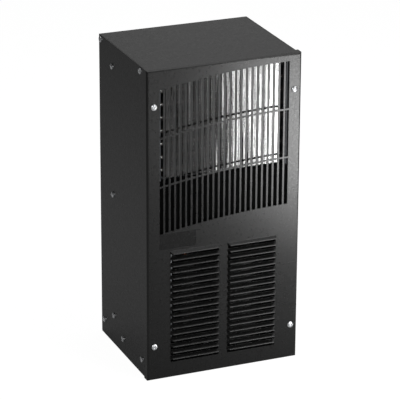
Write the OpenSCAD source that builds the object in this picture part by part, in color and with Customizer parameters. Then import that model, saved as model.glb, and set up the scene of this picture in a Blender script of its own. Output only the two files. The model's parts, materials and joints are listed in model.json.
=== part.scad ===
// Side-mounted enclosure cooling unit.
// The unit stands on its base at z = 0, its front face looks along -Y,
// and its back face along +Y seals against the wall of the enclosure it cools.
// A partition divides it: the hot side in front holds the condenser, its fan and
// the compressor, and the cold side behind holds the evaporator and its fan.

/* [Cabinet] */
// Width over the front panel
cabinet_w = 254; // [248:1:300]
// Height over the front panel
cabinet_h = 508; // [506:1:560]
// Depth from the front face to the outside of the back plate
cabinet_d = 208; // [206:1:240]
// Thickness of the painted sheet steel
sheet_t = 1.5; // [1.2:0.1:1.8]
// Outside radius of the bends round the front panel
bend_r = 3.5; // [2.5:0.5:6]
// Depth of the flange of the front panel, which wraps over the case
cover_d = 15; // [12:1:22]
// Gap between the front panel and the case inside it
cover_gap = 0.3; // [0.2:0.1:0.8]
// Width of the side panels' front flanges, from their outer face
front_flange_w = 19; // [18:1:20]
// Width of the side panels' back flanges, from their outer face
back_flange_w = 24; // [22:1:25]
// Height of the base pan's upturned flanges
base_flange_h = 35; // [32:1:40]
// Height of the top panel's downturned flanges
top_flange_h = 16; // [14:1:20]
// Gap between the cut edges of neighbouring sheets
edge_gap = 0.5; // [0.3:0.1:0.8]
// Height of a relief notch in the rim of the front panel
notch_h = 4; // [2:0.5:6]
// Depth of a relief notch
notch_d = 3; // [2:0.5:5]
// Distance of the upper relief notches from the top
notch_top = 17; // [10:1:30]
// Distance of the lower relief notches from the bottom
notch_bottom = 22; // [10:1:30]

/* [Front grille] */
// Number of slots in a row
grille_slots = 24; // [12:1:25]
// Distance of the outermost slots' centres from the side edges
grille_margin = 23.5; // [21:0.5:40]
// Width of a slot
grille_slot_w = 5.8; // [4:0.1:6.5]
// Number of rows
grille_rows = 3; // [1:1:3]
// Distance of the grille's crown from the top
grille_top_gap = 8.8; // [8:0.2:30]
// Width of the rib between two rows
grille_rib = 3; // [2:0.5:6]
// Radius of the arcs that end the rows
grille_arc_r = 1250; // [900:10:3000]
// Distance from the right edge to the crown of the arcs
grille_crown_inset = 4; // [0:1:60]
// Height of the lowest arc's crown above the base
grille_z = 264; // [255:1:268]
// Width of the bare plate under the grille
label_w = 60; // [30:1:70]
// Height of the bare plate
label_h = 25; // [12:1:26]
// Thickness of the bare plate
label_t = 0.3; // [0.2:0.1:0.6]
// Distance of the bare plate from the left edge
label_x = 20.7; // [15:0.1:40]
// Height of the bare plate's lower edge above the base
label_z = 218; // [216:1:220]

/* [Louvres] */
// Number of louvres in a block
louvre_count = 18; // [6:1:19]
// Distance between two louvres
louvre_pitch = 10.4; // [9.5:0.1:10.8]
// Width of a louvre
louvre_w = 83; // [50:1:90]
// Distance between the two blocks
louvre_gap = 12.6; // [8:0.2:24]
// How far a louvre stands out of the panel
louvre_out = 5.5; // [4:0.1:7]
// Drop of a louvre from its bend to its lip
louvre_slope_h = 3.3; // [2.5:0.1:4]
// Height of the lip that ends a louvre
louvre_lip_h = 1.6; // [1:0.1:2]
// Thickness of the formed metal in a louvre
louvre_t = 1.1; // [0.8:0.1:1.3]
// Slant of a louvre's closed ends
louvre_end = 3; // [1:0.5:5]
// Web left between an opening and the louvre below
louvre_web = 1; // [0.6:0.1:2]
// Height of the first louvre's bend above the base
louvre_z = 213.5; // [208:0.5:215]

/* [Screws] */
// Radius of a machine screw's shank
screw_r = 2.4; // [2:0.1:2.5]
// Radius of a pan head
head_r = 4.8; // [4:0.1:5]
// Height of a pan head
head_h = 2.9; // [2:0.1:3]
// Length of a machine screw under its head
screw_l = 9; // [8:0.5:10]
// Distance of the front screws from the side edges
front_screw_x = 11.5; // [11:0.5:13]
// Distance of the upper front screws from the top
front_screw_top = 58; // [40:1:70]
// Height of the lower front screws above the base
front_screw_bottom = 57; // [40:1:70]
// Play of a screw in the sheet that it holds down
screw_play = 0.3; // [0.2:0.05:0.4]
// Play of a screw in the thread that takes it
thread_play = 0.05; // [0.02:0.01:0.1]

/* [Coils] */
// Radius of the coil tubes
tube_r = 4; // [3:0.1:4.2]
// Wall of the copper tubes
tube_wall = 0.8; // [0.5:0.1:1]
// Number of tubes in a row of a coil
coil_tubes = 8; // [4:2:8]
// Distance between two tubes of a row, as a share of the cabinet's height
tube_pitch_share = 0.04134; // [0.0374:0.0001:0.0413]
// Distance between the two rows
row_pitch = 18.2; // [17:0.1:19]
// Thickness of a fin
fin_t = 0.4; // [0.2:0.1:0.8]
// Distance between two fins
fin_pitch = 8; // [5:0.5:12]
// Play between a fin's collar and its tube
fin_play = 0.05; // [0.02:0.01:0.1]
// Thickness of a coil's end plates
end_plate_t = 1.2; // [0.8:0.1:1.5]
// Distance of the condenser's fins from the side edges
condenser_side_gap = 24; // [24:1:32]
// Depth of the condenser's front behind the front face
condenser_y = 10; // [8:1:14]
// Gap between the condenser and the top panel
condenser_top_gap = 5.5; // [4:0.5:10]
// Distance of the evaporator's fins from the side edges
evaporator_side_gap = 37; // [37:1:47]
// Gap between the evaporator and the back plate
evaporator_back_gap = 5; // [4:0.5:6]
// Height of the evaporator's lowest fin edge, as a share of the cabinet's height
evaporator_z_share = 0.2953; // [0.2883:0.001:0.3023]

/* [Compartments] */
// Depth of the cold compartment, as a share of the cabinet's depth
cold_share = 0.3221; // [0.3181:0.001:0.3261]
// Width of the partition's side flanges
partition_flange_w = 15; // [13:1:18]
// Thickness of the insulation on the cold side of the partition
insulation_t = 6; // [3:1:8]

/* [Condenser fan] */
// Radius of the condenser fan over its blades
fan_r = 74; // [60:1:76]
// Gap between the blade tips and the shroud
fan_tip_gap = 3; // [2:0.5:4]
// Radius of the hub
fan_hub_r = 24; // [20:1:28]
// Height of the hub
fan_hub_h = 22; // [20:1:24]
// Number of blades
fan_blades = 5; // [3:1:6]
// Length of a blade's chord
fan_chord = 44; // [30:1:46]
// Pitch of the blades
fan_pitch = 28; // [20:1:32]
// Thickness of a blade
fan_blade_t = 1.6; // [1:0.1:2]
// Radius of the motor shaft
shaft_r = 3; // [2.5:0.5:4]
// Play of a shaft in its bearing
bearing_play = 0.05; // [0.02:0.01:0.08]
// Radius of the fan motor
motor_r = 37; // [32:1:40]
// Length of the fan motor, as a share of the cabinet's depth
motor_l_share = 0.173; // [0.145:0.001:0.182]
// Gap between the fan's hub and the motor
motor_gap = 3; // [2:0.5:5]

/* [Enclosure fan] */
// Side of the square frame
frame_w = 119; // [110:1:119]
// Depth of the frame
frame_d = 38; // [36:0.5:38]
// Wall at the narrowest place of the frame
frame_wall = 2.5; // [2:0.5:4]
// Gap between the blades and the frame
frame_tip_gap = 1; // [0.8:0.1:2]
// Distance between two mounting holes of the frame
frame_hole_pitch = 104.8; // [96:0.1:105]
// Radius of the fan's hub
cup_r = 32; // [28:1:34]
// Wall of the hub
cup_wall = 2; // [1.5:0.5:3]
// Number of blades
cup_blades = 7; // [5:1:9]
// Gap between the frame and the top panel
frame_top_gap = 21.2; // [19:0.1:25]

/* [Compressor] */
// Radius of the compressor's shell, as a share of the cabinet's depth
shell_depth_share = 0.25; // [0.23:0.005:0.25]
// Its upper limit, as a share of the cabinet's width
shell_width_share = 0.205; // [0.19:0.001:0.205]
// Wall of the shell
shell_wall = 3; // [2:0.5:3.5]
// Height of the shell
shell_h = 176; // [172:1:185]
// Height of the shell's rounded ends
dish_h = 16; // [12:1:16]
// Gap between the shell and the right side panel
compressor_side_gap = 31.7; // [28:0.1:36]
// Gap between the feet and the partition
compressor_back_gap = 1.2; // [0.6:0.1:2]
// Height of the shell's lowest point above the base
shell_z = 8; // [6:1:10]
// Distance of the rubber feet's axes from the shell
feet_gap = 10; // [9:0.5:10]
// Radius of a rubber foot
foot_r = 7.5; // [6:0.5:7.5]
// Radius of a stud
stud_r = 3; // [2.5:0.5:3]
// Radius of the crankshaft
crank_r = 8; // [7:0.5:9]
// Throw of the crankshaft's eccentric
crank_throw = 4; // [3:0.5:4.5]
// Radius of the pump's cylinder, as a share of the shell's inside
cylinder_r_share = 0.49; // [0.45:0.01:0.51]
// Height of the pump's cylinder
cylinder_h = 22; // [18:1:24]
// Radius of the motor's rotor, as a share of the shell's inside
rotor_r_share = 0.592; // [0.532:0.01:0.632]
// Height of the motor's iron
iron_h = 52; // [44:1:54]
// Radius of the suction accumulator
accumulator_r = 20; // [16:1:20]
// Height of the accumulator's straight part
accumulator_h = 104; // [90:1:106]

/* [Control box] */
// Depth of the box from the side panel, as a share of the cabinet's width
box_w_share = 0.1693; // [0.1653:0.001:0.1733]
// Length of the box from front to back, as a share of the cabinet's depth
box_l_share = 0.404; // [0.394:0.002:0.412]
// Height of the box, as a share of the cabinet's height
box_h_share = 0.2953; // [0.2873:0.001:0.2993]
// Height of the box's underside, as a share of the cabinet's height
box_z_share = 0.1181; // [0.1141:0.001:0.1221]
// Thickness of the box's sheet
box_t = 1.2; // [1:0.1:1.5]
// Distance of the box's front behind the front face
box_y = 17; // [17:0.5:19]
// Radius of the thermostat's knob
knob_r = 10; // [8:0.5:12]
// Length of the knob
knob_l = 9; // [7:0.5:9]

/* [Back] */
// Thickness of the foam gasket
gasket_t = 3; // [2:0.5:5]
// Width of the foam gasket
gasket_w = 8; // [6:0.5:8]
// Distance of the mounting nuts from the side panels' outer faces
nut_inset = 15.2; // [15:0.1:16]
// Height of the lower mounting nuts above the base
nut_low_z = 40; // [38:1:50]
// Distance of the upper mounting nuts from the top
nut_top_gap = 38; // [34:1:68]
// Radius of a mounting nut's thread
nut_thread_r = 3; // [2.5:0.25:3.25]
// Radius of a mounting nut's body
nut_body_r = 4.4; // [4:0.1:4.5]
// Radius of a mounting nut's rim
nut_rim_r = 5.9; // [5.4:0.1:6]
// Thickness of a mounting nut's rim
nut_rim_t = 1; // [0.6:0.1:1.5]
// Length of a mounting nut's body
nut_body_l = 13; // [10:1:16]
// Number of outlet slots in a row
outlet_slots = 16; // [8:1:17]
// Distance between two outlet slots
outlet_pitch = 10; // [9:0.5:10.2]
// Width of an outlet slot
outlet_slot_w = 6; // [4:0.5:7]
// Distance of the outlet slots from the evaporator's upper and lower ends
outlet_margin = 14; // [10:1:28]
// Bar between the two rows of outlet slots
outlet_bar = 12; // [8:1:20]
// Radius of the cable bushing's bore
cable_r = 7; // [5:0.5:8]
// Distance of the cable bushing to the left of the middle
cable_x = 60; // [50:1:70]
// Height of the cable bushing above the base
cable_z = 70; // [60:1:80]

/* [Drain] */
// Distance of the drain pan from the side edges
pan_side_gap = 29; // [29:1:33]
// Distance of the drain pan's underside below the evaporator
pan_drop = 24; // [22:1:26]
// Height of the drain pan's walls
pan_h = 18; // [14:1:19]
// Wall of the drain pan
pan_t = 1.5; // [1:0.1:2]
// Radius of the drain fitting's bore
drain_r = 5; // [4:0.5:6]
// Distance of the drain from the right end of the drain pan
drain_inset = 18; // [13:1:28]

/* [Hidden] */
$fn = 96;
fine_fn = 256;

// Paint and metal colours
black_paint = "#2c2c2b";
label_black = "#1f1f1f";
zinc = "#c9ccd0";
aluminium = "#d5d8da";
copper = "#b8703f";
black_plastic = "#1b1b1c";
grey_foam = "#3b3d3f";
galvanised = "#9aa0a4";

// Overrun of a cut
cut = 1;

// Sizes that follow the cabinet come in steps
size_step = 0.1;
function stepped(size) = round(size / size_step) * size_step;

// Planes and edges of the case
front_y = -cabinet_d / 2;
back_y = cabinet_d / 2;
back_in_y = back_y - sheet_t;
case_front_y = front_y + sheet_t + cover_gap;
case_w = cabinet_w - 2 * (sheet_t + cover_gap);
case_x = case_w / 2;
side_in_x = case_x - sheet_t;
case_top = cabinet_h - sheet_t - cover_gap;
top_in_z = case_top - sheet_t;
joggle_z = sheet_t + cover_gap;
case_bend_r = bend_r - joggle_z;
rim_y = front_y + cover_d + cover_gap;
flange_foot_z = joggle_z + sheet_t + edge_gap;
flange_head_z = top_in_z - edge_gap;
cold_d = stepped(cold_share * cabinet_d);
partition_y = back_y - cold_d;
partition_back_y = partition_y + sheet_t;
insulation_back_y = partition_back_y + insulation_t;

// Places of the side screws
top_screw_z = case_top - top_flange_h * 0.44;
top_screw_front_share = 0.149;
top_screw_back_gap = 7.1;
base_screw_z = base_flange_h * 0.73;
base_screw_shares = [0.137, 0.536, 0.938];
partition_screw_y = partition_y + partition_flange_w * 0.7;
partition_screw_top = 38;
partition_screw_bottom = 50;
partition_screw_mid_share = 0.508;

// Slots of the grille
grille_pitch = (cabinet_w - 2 * grille_margin) / (grille_slots - 1);
grille_row_pitch = (cabinet_h - grille_top_gap - grille_z) / grille_rows;

// Coil block
tube_pitch = stepped(tube_pitch_share * cabinet_h);
coil_h = coil_tubes * tube_pitch;
coil_d = 2 * row_pitch;
coil_stub = 1.5;
condenser_half_w = cabinet_w / 2 - condenser_side_gap;
condenser_front_y = front_y + condenser_y;
condenser_back_y = condenser_front_y + coil_d;
condenser_bottom_z = top_in_z - condenser_top_gap - coil_h;
evaporator_half_w = cabinet_w / 2 - evaporator_side_gap;
evaporator_z = stepped(evaporator_z_share * cabinet_h);
evaporator_back_y = back_in_y - evaporator_back_gap;
evaporator_front_y = evaporator_back_y - coil_d;
end_plate_margin = 2;
baffle_drop = 2;
baffle_t = 3;
baffle_y = condenser_front_y - baffle_t / 2;
coil_flange_w = 6.5;

// Fan line, from the shroud back to the partition
shroud_t = 1.2;
shroud_d = 12;
shroud_y = condenser_back_y + shroud_d;
fan_z = condenser_bottom_z + coil_h / 2;
hub_front_y = shroud_y - fan_hub_h / 6;
hub_back_y = hub_front_y + fan_hub_h;
motor_front_y = hub_back_y + motor_gap;
motor_l = stepped(motor_l_share * cabinet_d);
motor_back_y = motor_front_y + motor_l;
post_r = 3;
bracket_t = 2;
bracket_w = 70;

// Refrigerant lines
line_r = 4;
capillary_r = 1.2;
line_bend_r = 6.5;
capillary_bend_r = 4;
capillary_wall = 0.7;

// Compressor
shell_r = stepped(min(shell_depth_share * cabinet_d, shell_width_share * cabinet_w));
feet_circle_r = shell_r + feet_gap;
foot_plate_t = 2.5;
foot_plate_z = shell_z + dish_h;
foot_lobe_r = 8.8;
compressor_x = side_in_x - compressor_side_gap - shell_r;
compressor_centre_y = partition_y - compressor_back_gap - foot_lobe_r - feet_circle_r;
seam_drop = 12;
shell_seam_z = shell_z + shell_h - dish_h - seam_drop;
shell_in_r = shell_r - shell_wall;
cylinder_r = stepped(cylinder_r_share * shell_in_r);
rotor_r = stepped(rotor_r_share * shell_in_r);
pump_rise = 14;
pump_z = shell_z + dish_h + pump_rise;
bearing_h = 10;
bearing_boss_h = 14;
bearing_boss_r = 14;
iron_gap = 6;
iron_z = pump_z + cylinder_h + bearing_h + bearing_boss_h + iron_gap;
air_gap = 0.5;
winding_h = 10;
inner_play = 0.1;
accumulator_gap = 6;
accumulator_x = compressor_x - shell_r - accumulator_r - accumulator_gap;
accumulator_neck_h = 6;
elbow_z = pump_z + cylinder_h / 2;
accumulator_z = elbow_z + line_bend_r + line_r + accumulator_neck_h;

// Cold side fan
frame_z = top_in_z - frame_top_gap - frame_w / 2;
fan_bore_r = frame_w / 2 - frame_wall;
frame_front_y = back_in_y - frame_d;
frame_base_t = 5;
strut_w = 6;
inlet_rings = 5;

// Control box
box_w = stepped(box_w_share * cabinet_w);
box_l = stepped(box_l_share * cabinet_d);
box_h = stepped(box_h_share * cabinet_h);
box_z = stepped(box_z_share * cabinet_h);

// Ends of the coils' circuits
condenser_tube_low_z = condenser_bottom_z + tube_pitch / 2;
condenser_tube_high_z = condenser_tube_low_z + (coil_tubes - 1) * tube_pitch;
condenser_port_y = condenser_front_y + row_pitch / 2 + row_pitch;
condenser_port_x = -condenser_half_w - end_plate_t - coil_stub;
evaporator_tube_low_z = evaporator_z + tube_pitch / 2;
evaporator_tube_high_z = evaporator_tube_low_z + (coil_tubes - 1) * tube_pitch;
evaporator_port_y = evaporator_front_y + row_pitch / 2;
evaporator_port_x = -evaporator_half_w - end_plate_t - coil_stub;

// Extrudes an outline drawn in (y, z) along x
module along_x(length) {
    rotate([90, 0, 90]) linear_extrude(length) children();
}

// Extrudes an outline drawn in (x, z) along y
module along_y(length) {
    translate([0, length, 0]) rotate([90, 0, 0]) linear_extrude(length) children();
}

// Draws its children on the left and on the right
module both_sides() {
    children();
    mirror([1, 0, 0]) children();
}

// A block from its lowest corner to its highest corner
module block(low, high) {
    translate(low) cube(high - low);
}

// A round bar or hole along y
module bar_y(r, y_from, y_to) {
    translate([0, y_from, 0]) rotate([-90, 0, 0]) cylinder(h = y_to - y_from, r = r);
}

// A round bar or hole along z
module bar_z(r, z_from, z_to) {
    translate([0, 0, z_from]) cylinder(h = z_to - z_from, r = r);
}

// A round bar or hole along x
module bar_x(r, x_from, x_to) {
    translate([x_from, 0, 0]) rotate([0, 90, 0]) cylinder(h = x_to - x_from, r = r);
}

module ring(outer_r, inner_r) {
    difference() {
        circle(outer_r);
        circle(inner_r);
    }
}

// The front panel's outline in plan, rounded at its two front corners
module pan_plan(w, d, r) {
    translate([-w / 2, r]) square([w, d - r]);
    translate([-w / 2 + r, 0]) square([w - 2 * r, r]);
    for (side = [-1, 1])
        translate([side * (w / 2 - r), r]) circle(r);
}

// The front panel's outline from the side, rounded at its two front corners
module pan_side(h, d, r) {
    translate([r, 0]) square([d - r, h]);
    translate([0, r]) square([r, h - 2 * r]);
    for (z = [r, h - r])
        translate([r, z]) circle(r);
}

// A block whose front edges are rounded all round
module front_rounded_block(w, h, d, r) {
    intersection() {
        linear_extrude(h) pan_plan(w, d, r);
        translate([-w / 2, 0, 0]) along_x(w) pan_side(h, d, r);
    }
}

// The slots of the grille in (x, z), each row cut off along two arcs
module grille_slots_outline() {
    arc_x = cabinet_w / 2 - grille_crown_inset;
    arc_z = grille_z - grille_arc_r;
    side_drop = grille_arc_r - sqrt(pow(grille_arc_r, 2) - pow(cabinet_w, 2));
    for (row = [0 : grille_rows - 1])
        intersection() {
            for (i = [0 : grille_slots - 1])
                translate([(i - (grille_slots - 1) / 2) * grille_pitch - grille_slot_w / 2,
                        grille_z - side_drop])
                    square([grille_slot_w, grille_rows * grille_row_pitch + side_drop]);
            difference() {
                translate([arc_x, arc_z + (row + 1) * grille_row_pitch - grille_rib])
                    circle(grille_arc_r, $fn = fine_fn);
                translate([arc_x, arc_z + row * grille_row_pitch])
                    circle(grille_arc_r, $fn = fine_fn);
            }
        }
}

// Height of the inside of a louvre's slope at distance y behind the front face
louvre_slope_l = sqrt(pow(louvre_out, 2) + pow(louvre_slope_h, 2));
function louvre_inside_z(y) =
    louvre_slope_h / louvre_out * (y - louvre_t * louvre_slope_h / louvre_slope_l)
    - louvre_t * louvre_out / louvre_slope_l;

// Side outline of the outside of every louvre in a block, in (y, z)
module louvre_outlines() {
    drop = louvre_slope_h + louvre_lip_h;
    for (i = [0 : louvre_count - 1])
        translate([0, -i * louvre_pitch])
            polygon([[sheet_t, 0], [0, 0], [-louvre_out, -louvre_slope_h],
                [-louvre_out, -drop], [sheet_t, -drop]]);
}

// Side outline of the hollow of every louvre in a block
module louvre_hollow_outlines() {
    drop = louvre_slope_h + louvre_lip_h + cut;
    open_z = -louvre_pitch + louvre_web;
    lip_y = -louvre_out + louvre_t;
    behind_y = sheet_t + cut;
    for (i = [0 : louvre_count - 1])
        translate([0, -i * louvre_pitch])
            polygon([[behind_y, louvre_inside_z(behind_y)], [lip_y, louvre_inside_z(lip_y)],
                [lip_y, -drop], [-louvre_t / 4, -drop], [-louvre_t / 4, -louvre_pitch], [behind_y, open_z]]);
}

// Keeps of its children what lies between the slanted ends of the louvres
module between_louvre_ends(inset) {
    high = louvre_count * louvre_pitch;
    behind_y = sheet_t + 2 * cut;
    intersection() {
        along_x(louvre_w) children();
        translate([0, 0, -high]) linear_extrude(high + sheet_t)
            polygon([[inset, behind_y], [inset, 0], [inset + louvre_end, -louvre_out],
                [louvre_w - inset - louvre_end, -louvre_out], [louvre_w - inset, 0],
                [louvre_w - inset, behind_y]]);
    }
}

module place_louvre_blocks() {
    for (x = [-louvre_gap / 2 - louvre_w, louvre_gap / 2])
        translate([x, 0, louvre_z]) children();
}

module place_front_screws() {
    for (z = [front_screw_bottom, cabinet_h - front_screw_top])
        both_sides() translate([cabinet_w / 2 - front_screw_x, 0, z]) children();
}

module front_panel() {
    color(black_paint) translate([0, front_y, 0]) difference() {
        union() {
            difference() {
                front_rounded_block(cabinet_w, cabinet_h, cover_d, bend_r);
                translate([0, sheet_t, sheet_t])
                    front_rounded_block(cabinet_w - 2 * sheet_t, cabinet_h - 2 * sheet_t,
                        cover_d, bend_r - sheet_t);
            }
            place_louvre_blocks() between_louvre_ends(0) louvre_outlines();
        }
        place_louvre_blocks() between_louvre_ends(louvre_t) louvre_hollow_outlines();
        translate([0, -cut, 0]) along_y(sheet_t + 2 * cut) grille_slots_outline();
        place_front_screws() bar_y(screw_r + screw_play, -cut, sheet_t + cut);
        both_sides()
            for (z = [notch_bottom, cabinet_h - notch_top])
                block([cabinet_w / 2 - sheet_t - cut, cover_d - notch_d, z - notch_h / 2],
                    [cabinet_w / 2 + cut, cover_d + cut, z + notch_h / 2]);
    }
}

module label_plate() {
    x = -cabinet_w / 2 + label_x;
    color(label_black)
        block([x, front_y - label_t, label_z], [x + label_w, front_y, label_z + label_h]);
}

// A pan-head screw along +Y, with the underside of its head at y = 0
module pan_head_screw(length) {
    dome_r = (pow(head_r, 2) + pow(head_h, 2)) / (2 * head_h) + head_r * 0.4;
    recess_w = head_r * 0.22;
    recess_l = head_r * 0.95;
    recess_d = head_h * 0.6;
    difference() {
        union() {
            intersection() {
                bar_y(head_r, -head_h, 0);
                translate([0, dome_r - head_h, 0]) sphere(dome_r);
            }
            bar_y(screw_r, -head_h / 2, length);
        }
        for (size = [[recess_w, recess_l], [recess_l, recess_w]])
            block([-size[0] / 2, -head_h - cut, -size[1] / 2],
                [size[0] / 2, -head_h + recess_d, size[1] / 2]);
    }
}

module front_panel_screws() {
    color(zinc) translate([0, front_y, 0]) place_front_screws() pan_head_screw(screw_l);
}

// Weld nuts on the back of the side panels' front flanges
module panel_weld_nuts() {
    nut_w_r = 5.2;
    nut_l = 5;
    nut_y = case_front_y + sheet_t;
    color(zinc) place_front_screws() difference() {
        translate([0, nut_y + nut_l, 0]) rotate([90, 0, 0]) cylinder(h = nut_l, r = nut_w_r, $fn = 6);
        bar_y(screw_r + thread_play, nut_y - cut, nut_y + nut_l + cut);
    }
}

// Places of the screws in a side panel, drawn for the right side
module place_side_screws() {
    for (y = [front_y + top_screw_front_share * cabinet_d, back_y - top_screw_back_gap])
        translate([case_x, y, top_screw_z]) children();
    for (share = base_screw_shares)
        translate([case_x, front_y + share * cabinet_d, base_screw_z]) children();
    for (z = [partition_screw_bottom, partition_screw_mid_share * cabinet_h,
            cabinet_h - partition_screw_top])
        translate([case_x, partition_screw_y, z]) children();
}

module side_screws() {
    color(zinc) both_sides() place_side_screws() rotate([0, 0, 90]) pan_head_screw(screw_l * 0.8);
}

// Places of the mounting nuts, drawn for the right side
module place_mounting_nuts() {
    for (z = [nut_low_z, cabinet_h - nut_top_gap])
        translate([case_x - nut_inset, 0, z]) children();
}

// Places of the rivets through the back plate
rivet_r = 2;
rivet_head_r = 4;
rivet_head_h = 1.2;
rivet_inset = 14;
rivet_shares = [0.2, 0.4, 0.6, 0.8];
module place_rivets() {
    for (share = rivet_shares)
        translate([case_x - rivet_inset, 0, share * case_top]) children();
}

// The room of the case, rounded like the front panel's inside
module case_room() {
    translate([0, case_front_y, joggle_z])
        front_rounded_block(case_w, case_top - joggle_z, back_in_y - case_front_y, case_bend_r);
    block([-case_x, rim_y, 0], [case_x, back_in_y, case_top]);
}

// The right side panel, with its two inward flanges
module side_panel() {
    flange_h = flange_head_z - flange_foot_z;
    color(black_paint) difference() {
        intersection() {
            case_room();
            union() {
                block([side_in_x, case_front_y, 0], [case_x, back_in_y, case_top]);
                translate([case_x - front_flange_w, case_front_y, flange_foot_z])
                    cube([front_flange_w, sheet_t, flange_h]);
                translate([case_x - back_flange_w, back_in_y - sheet_t, flange_foot_z])
                    cube([back_flange_w, sheet_t, flange_h]);
            }
        }
        place_side_screws() bar_x(screw_r + screw_play, -sheet_t - cut, cut);
        place_front_screws() bar_y(screw_r + screw_play, case_front_y - cut, case_front_y + sheet_t + cut);
        place_rivets() bar_y(rivet_r + thread_play, back_in_y - sheet_t - cut, back_in_y + cut);
        place_mounting_nuts()
            bar_y(nut_body_r + thread_play, back_in_y - sheet_t - cut, back_in_y + cut);
    }
}

module right_side_panel() {
    side_panel();
}

module left_side_panel() {
    mirror([1, 0, 0]) side_panel();
}

// Two side flanges and a back flange between z_low and z_high
module tray_flanges(z_low, z_high) {
    flange_y = case_front_y + sheet_t + edge_gap;
    flange_end_y = back_in_y - sheet_t - edge_gap;
    back_half_w = case_x - back_flange_w - edge_gap;
    both_sides() difference() {
        block([side_in_x - sheet_t, flange_y, z_low], [side_in_x, flange_end_y, z_high]);
        place_side_screws() bar_x(screw_r + thread_play, -2 * sheet_t - cut, -sheet_t + cut);
    }
    block([-back_half_w, back_in_y - sheet_t, z_low], [back_half_w, back_in_y, z_high]);
}

module top_panel() {
    color(black_paint) {
        intersection() {
            case_room();
            block([-side_in_x, case_front_y, top_in_z], [side_in_x, back_in_y, case_top]);
        }
        tray_flanges(case_top - top_flange_h, top_in_z);
    }
}

// Places of the compressor's studs
module place_studs() {
    for (angle = [90, 210, 330])
        translate([compressor_x, compressor_centre_y, 0]) rotate(angle)
            translate([feet_circle_r, 0, 0]) children();
}

pan_half_w = cabinet_w / 2 - pan_side_gap;
pan_z = evaporator_z - pan_drop;
drain_x = pan_half_w - drain_inset;
drain_y = evaporator_front_y + coil_d / 2;
fitting_wall = 3;
drain_tube_r = drain_r + fitting_wall / 5;

// The base pan, raised in front over the front panel's rim, with rails spot-welded on
weld_gap = 0.05;
module base_pan() {
    raised_z = joggle_z + sheet_t;
    raised_y = rim_y + sheet_t;
    color(black_paint) {
        difference() {
            intersection() {
                case_room();
                translate([-side_in_x, 0, 0]) along_x(2 * side_in_x)
                    polygon([[case_front_y, joggle_z], [rim_y, joggle_z], [rim_y, 0], [back_in_y, 0],
                        [back_in_y, sheet_t], [raised_y, sheet_t], [raised_y, raised_z],
                        [case_front_y, raised_z]]);
            }
            translate([drain_x, drain_y, -cut])
                cylinder(h = sheet_t + 2 * cut, r = drain_r + fitting_wall + thread_play);
        }
        difference() {
            tray_flanges(sheet_t + weld_gap, base_flange_h);
            block([-case_x, case_front_y, 0], [case_x, raised_y + weld_gap, raised_z + weld_gap]);
        }
    }
}

// The round inlet: rings of slots between four spokes
module inlet_outline() {
    ring_w = (fan_bore_r - frame_tip_gap) / (inlet_rings + 0.5);
    spoke_w = ring_w * 0.5;
    intersection() {
        for (i = [1 : inlet_rings])
            ring(i * ring_w + ring_w * 0.7, i * ring_w);
        difference() {
            circle(fan_bore_r);
            for (angle = [45, 135])
                rotate(angle) square([2 * fan_bore_r, spoke_w], center = true);
        }
    }
}

// Two rows of outlet slots behind the evaporator
module outlet_outline() {
    outlet_mid_z = evaporator_z + coil_h / 2;
    outlet_slot_l = (coil_h - outlet_bar) / 2 - outlet_margin;
    for (i = [0 : outlet_slots - 1], row = [-1, 1])
        translate([(i - (outlet_slots - 1) / 2) * outlet_pitch,
                outlet_mid_z + row * (outlet_slot_l + outlet_bar) / 2])
            square([outlet_slot_w, outlet_slot_l], center = true);
}

module place_frame_screws() {
    for (x = [-1, 1], z = [-1, 1])
        translate([x * frame_hole_pitch / 2, 0, frame_z + z * frame_hole_pitch / 2]) children();
}

frame_screw_r = 2;
bushing_wall = 2;
module back_plate() {
    color(black_paint) difference() {
        block([-case_x, back_in_y, 0], [case_x, back_y, case_top]);
        translate([0, back_in_y - cut, frame_z]) along_y(sheet_t + 2 * cut) inlet_outline();
        translate([0, back_in_y - cut, 0]) along_y(sheet_t + 2 * cut) outlet_outline();
        both_sides() {
            place_rivets() bar_y(rivet_r + thread_play, back_in_y - cut, back_y + cut);
            place_mounting_nuts() bar_y(nut_body_r + thread_play, back_in_y - cut, back_y + cut);
        }
        place_frame_screws() bar_y(frame_screw_r + screw_play, back_in_y - cut, back_y + cut);
        translate([-cable_x, 0, cable_z])
            bar_y(cable_r + bushing_wall + thread_play, back_in_y - cut, back_y + cut);
    }
}

// The partition, with side flanges that the side screws hold
module partition() {
    half_w = side_in_x;
    waist = side_in_x - sheet_t - edge_gap;
    low_z = base_flange_h + edge_gap;
    high_z = case_top - top_flange_h - edge_gap;
    color(galvanised) difference() {
        union() {
            translate([0, partition_y, 0]) along_y(sheet_t)
                polygon([[-waist, sheet_t + edge_gap], [waist, sheet_t + edge_gap], [waist, low_z],
                    [half_w, low_z], [half_w, high_z], [waist, high_z], [waist, flange_head_z],
                    [-waist, flange_head_z], [-waist, high_z], [-half_w, high_z],
                    [-half_w, low_z], [-waist, low_z]]);
            both_sides()
                block([side_in_x - sheet_t, partition_y, low_z],
                    [side_in_x, partition_y + partition_flange_w, high_z]);
        }
        both_sides() place_side_screws() bar_x(screw_r + thread_play, -2 * sheet_t - cut, -sheet_t + cut);
        line_holes(partition_y - cut, partition_back_y + cut);
    }
}

module insulation_panel() {
    half_w = side_in_x - sheet_t - edge_gap;
    low_z = base_flange_h + edge_gap;
    high_z = case_top - top_flange_h - edge_gap;
    color(grey_foam) difference() {
        block([-half_w, partition_back_y, low_z], [half_w, insulation_back_y, high_z]);
        line_holes(partition_back_y - cut, insulation_back_y + cut);
    }
}

module back_plate_rivets() {
    color(black_paint) both_sides() place_rivets() {
        bar_y(rivet_r, back_in_y - sheet_t - rivet_head_h, back_y);
        bar_y(rivet_head_r, back_y, back_y + rivet_head_h);
        bar_y(rivet_r * 1.4, back_in_y - sheet_t - 2 * rivet_head_h, back_in_y - sheet_t);
    }
}

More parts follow.
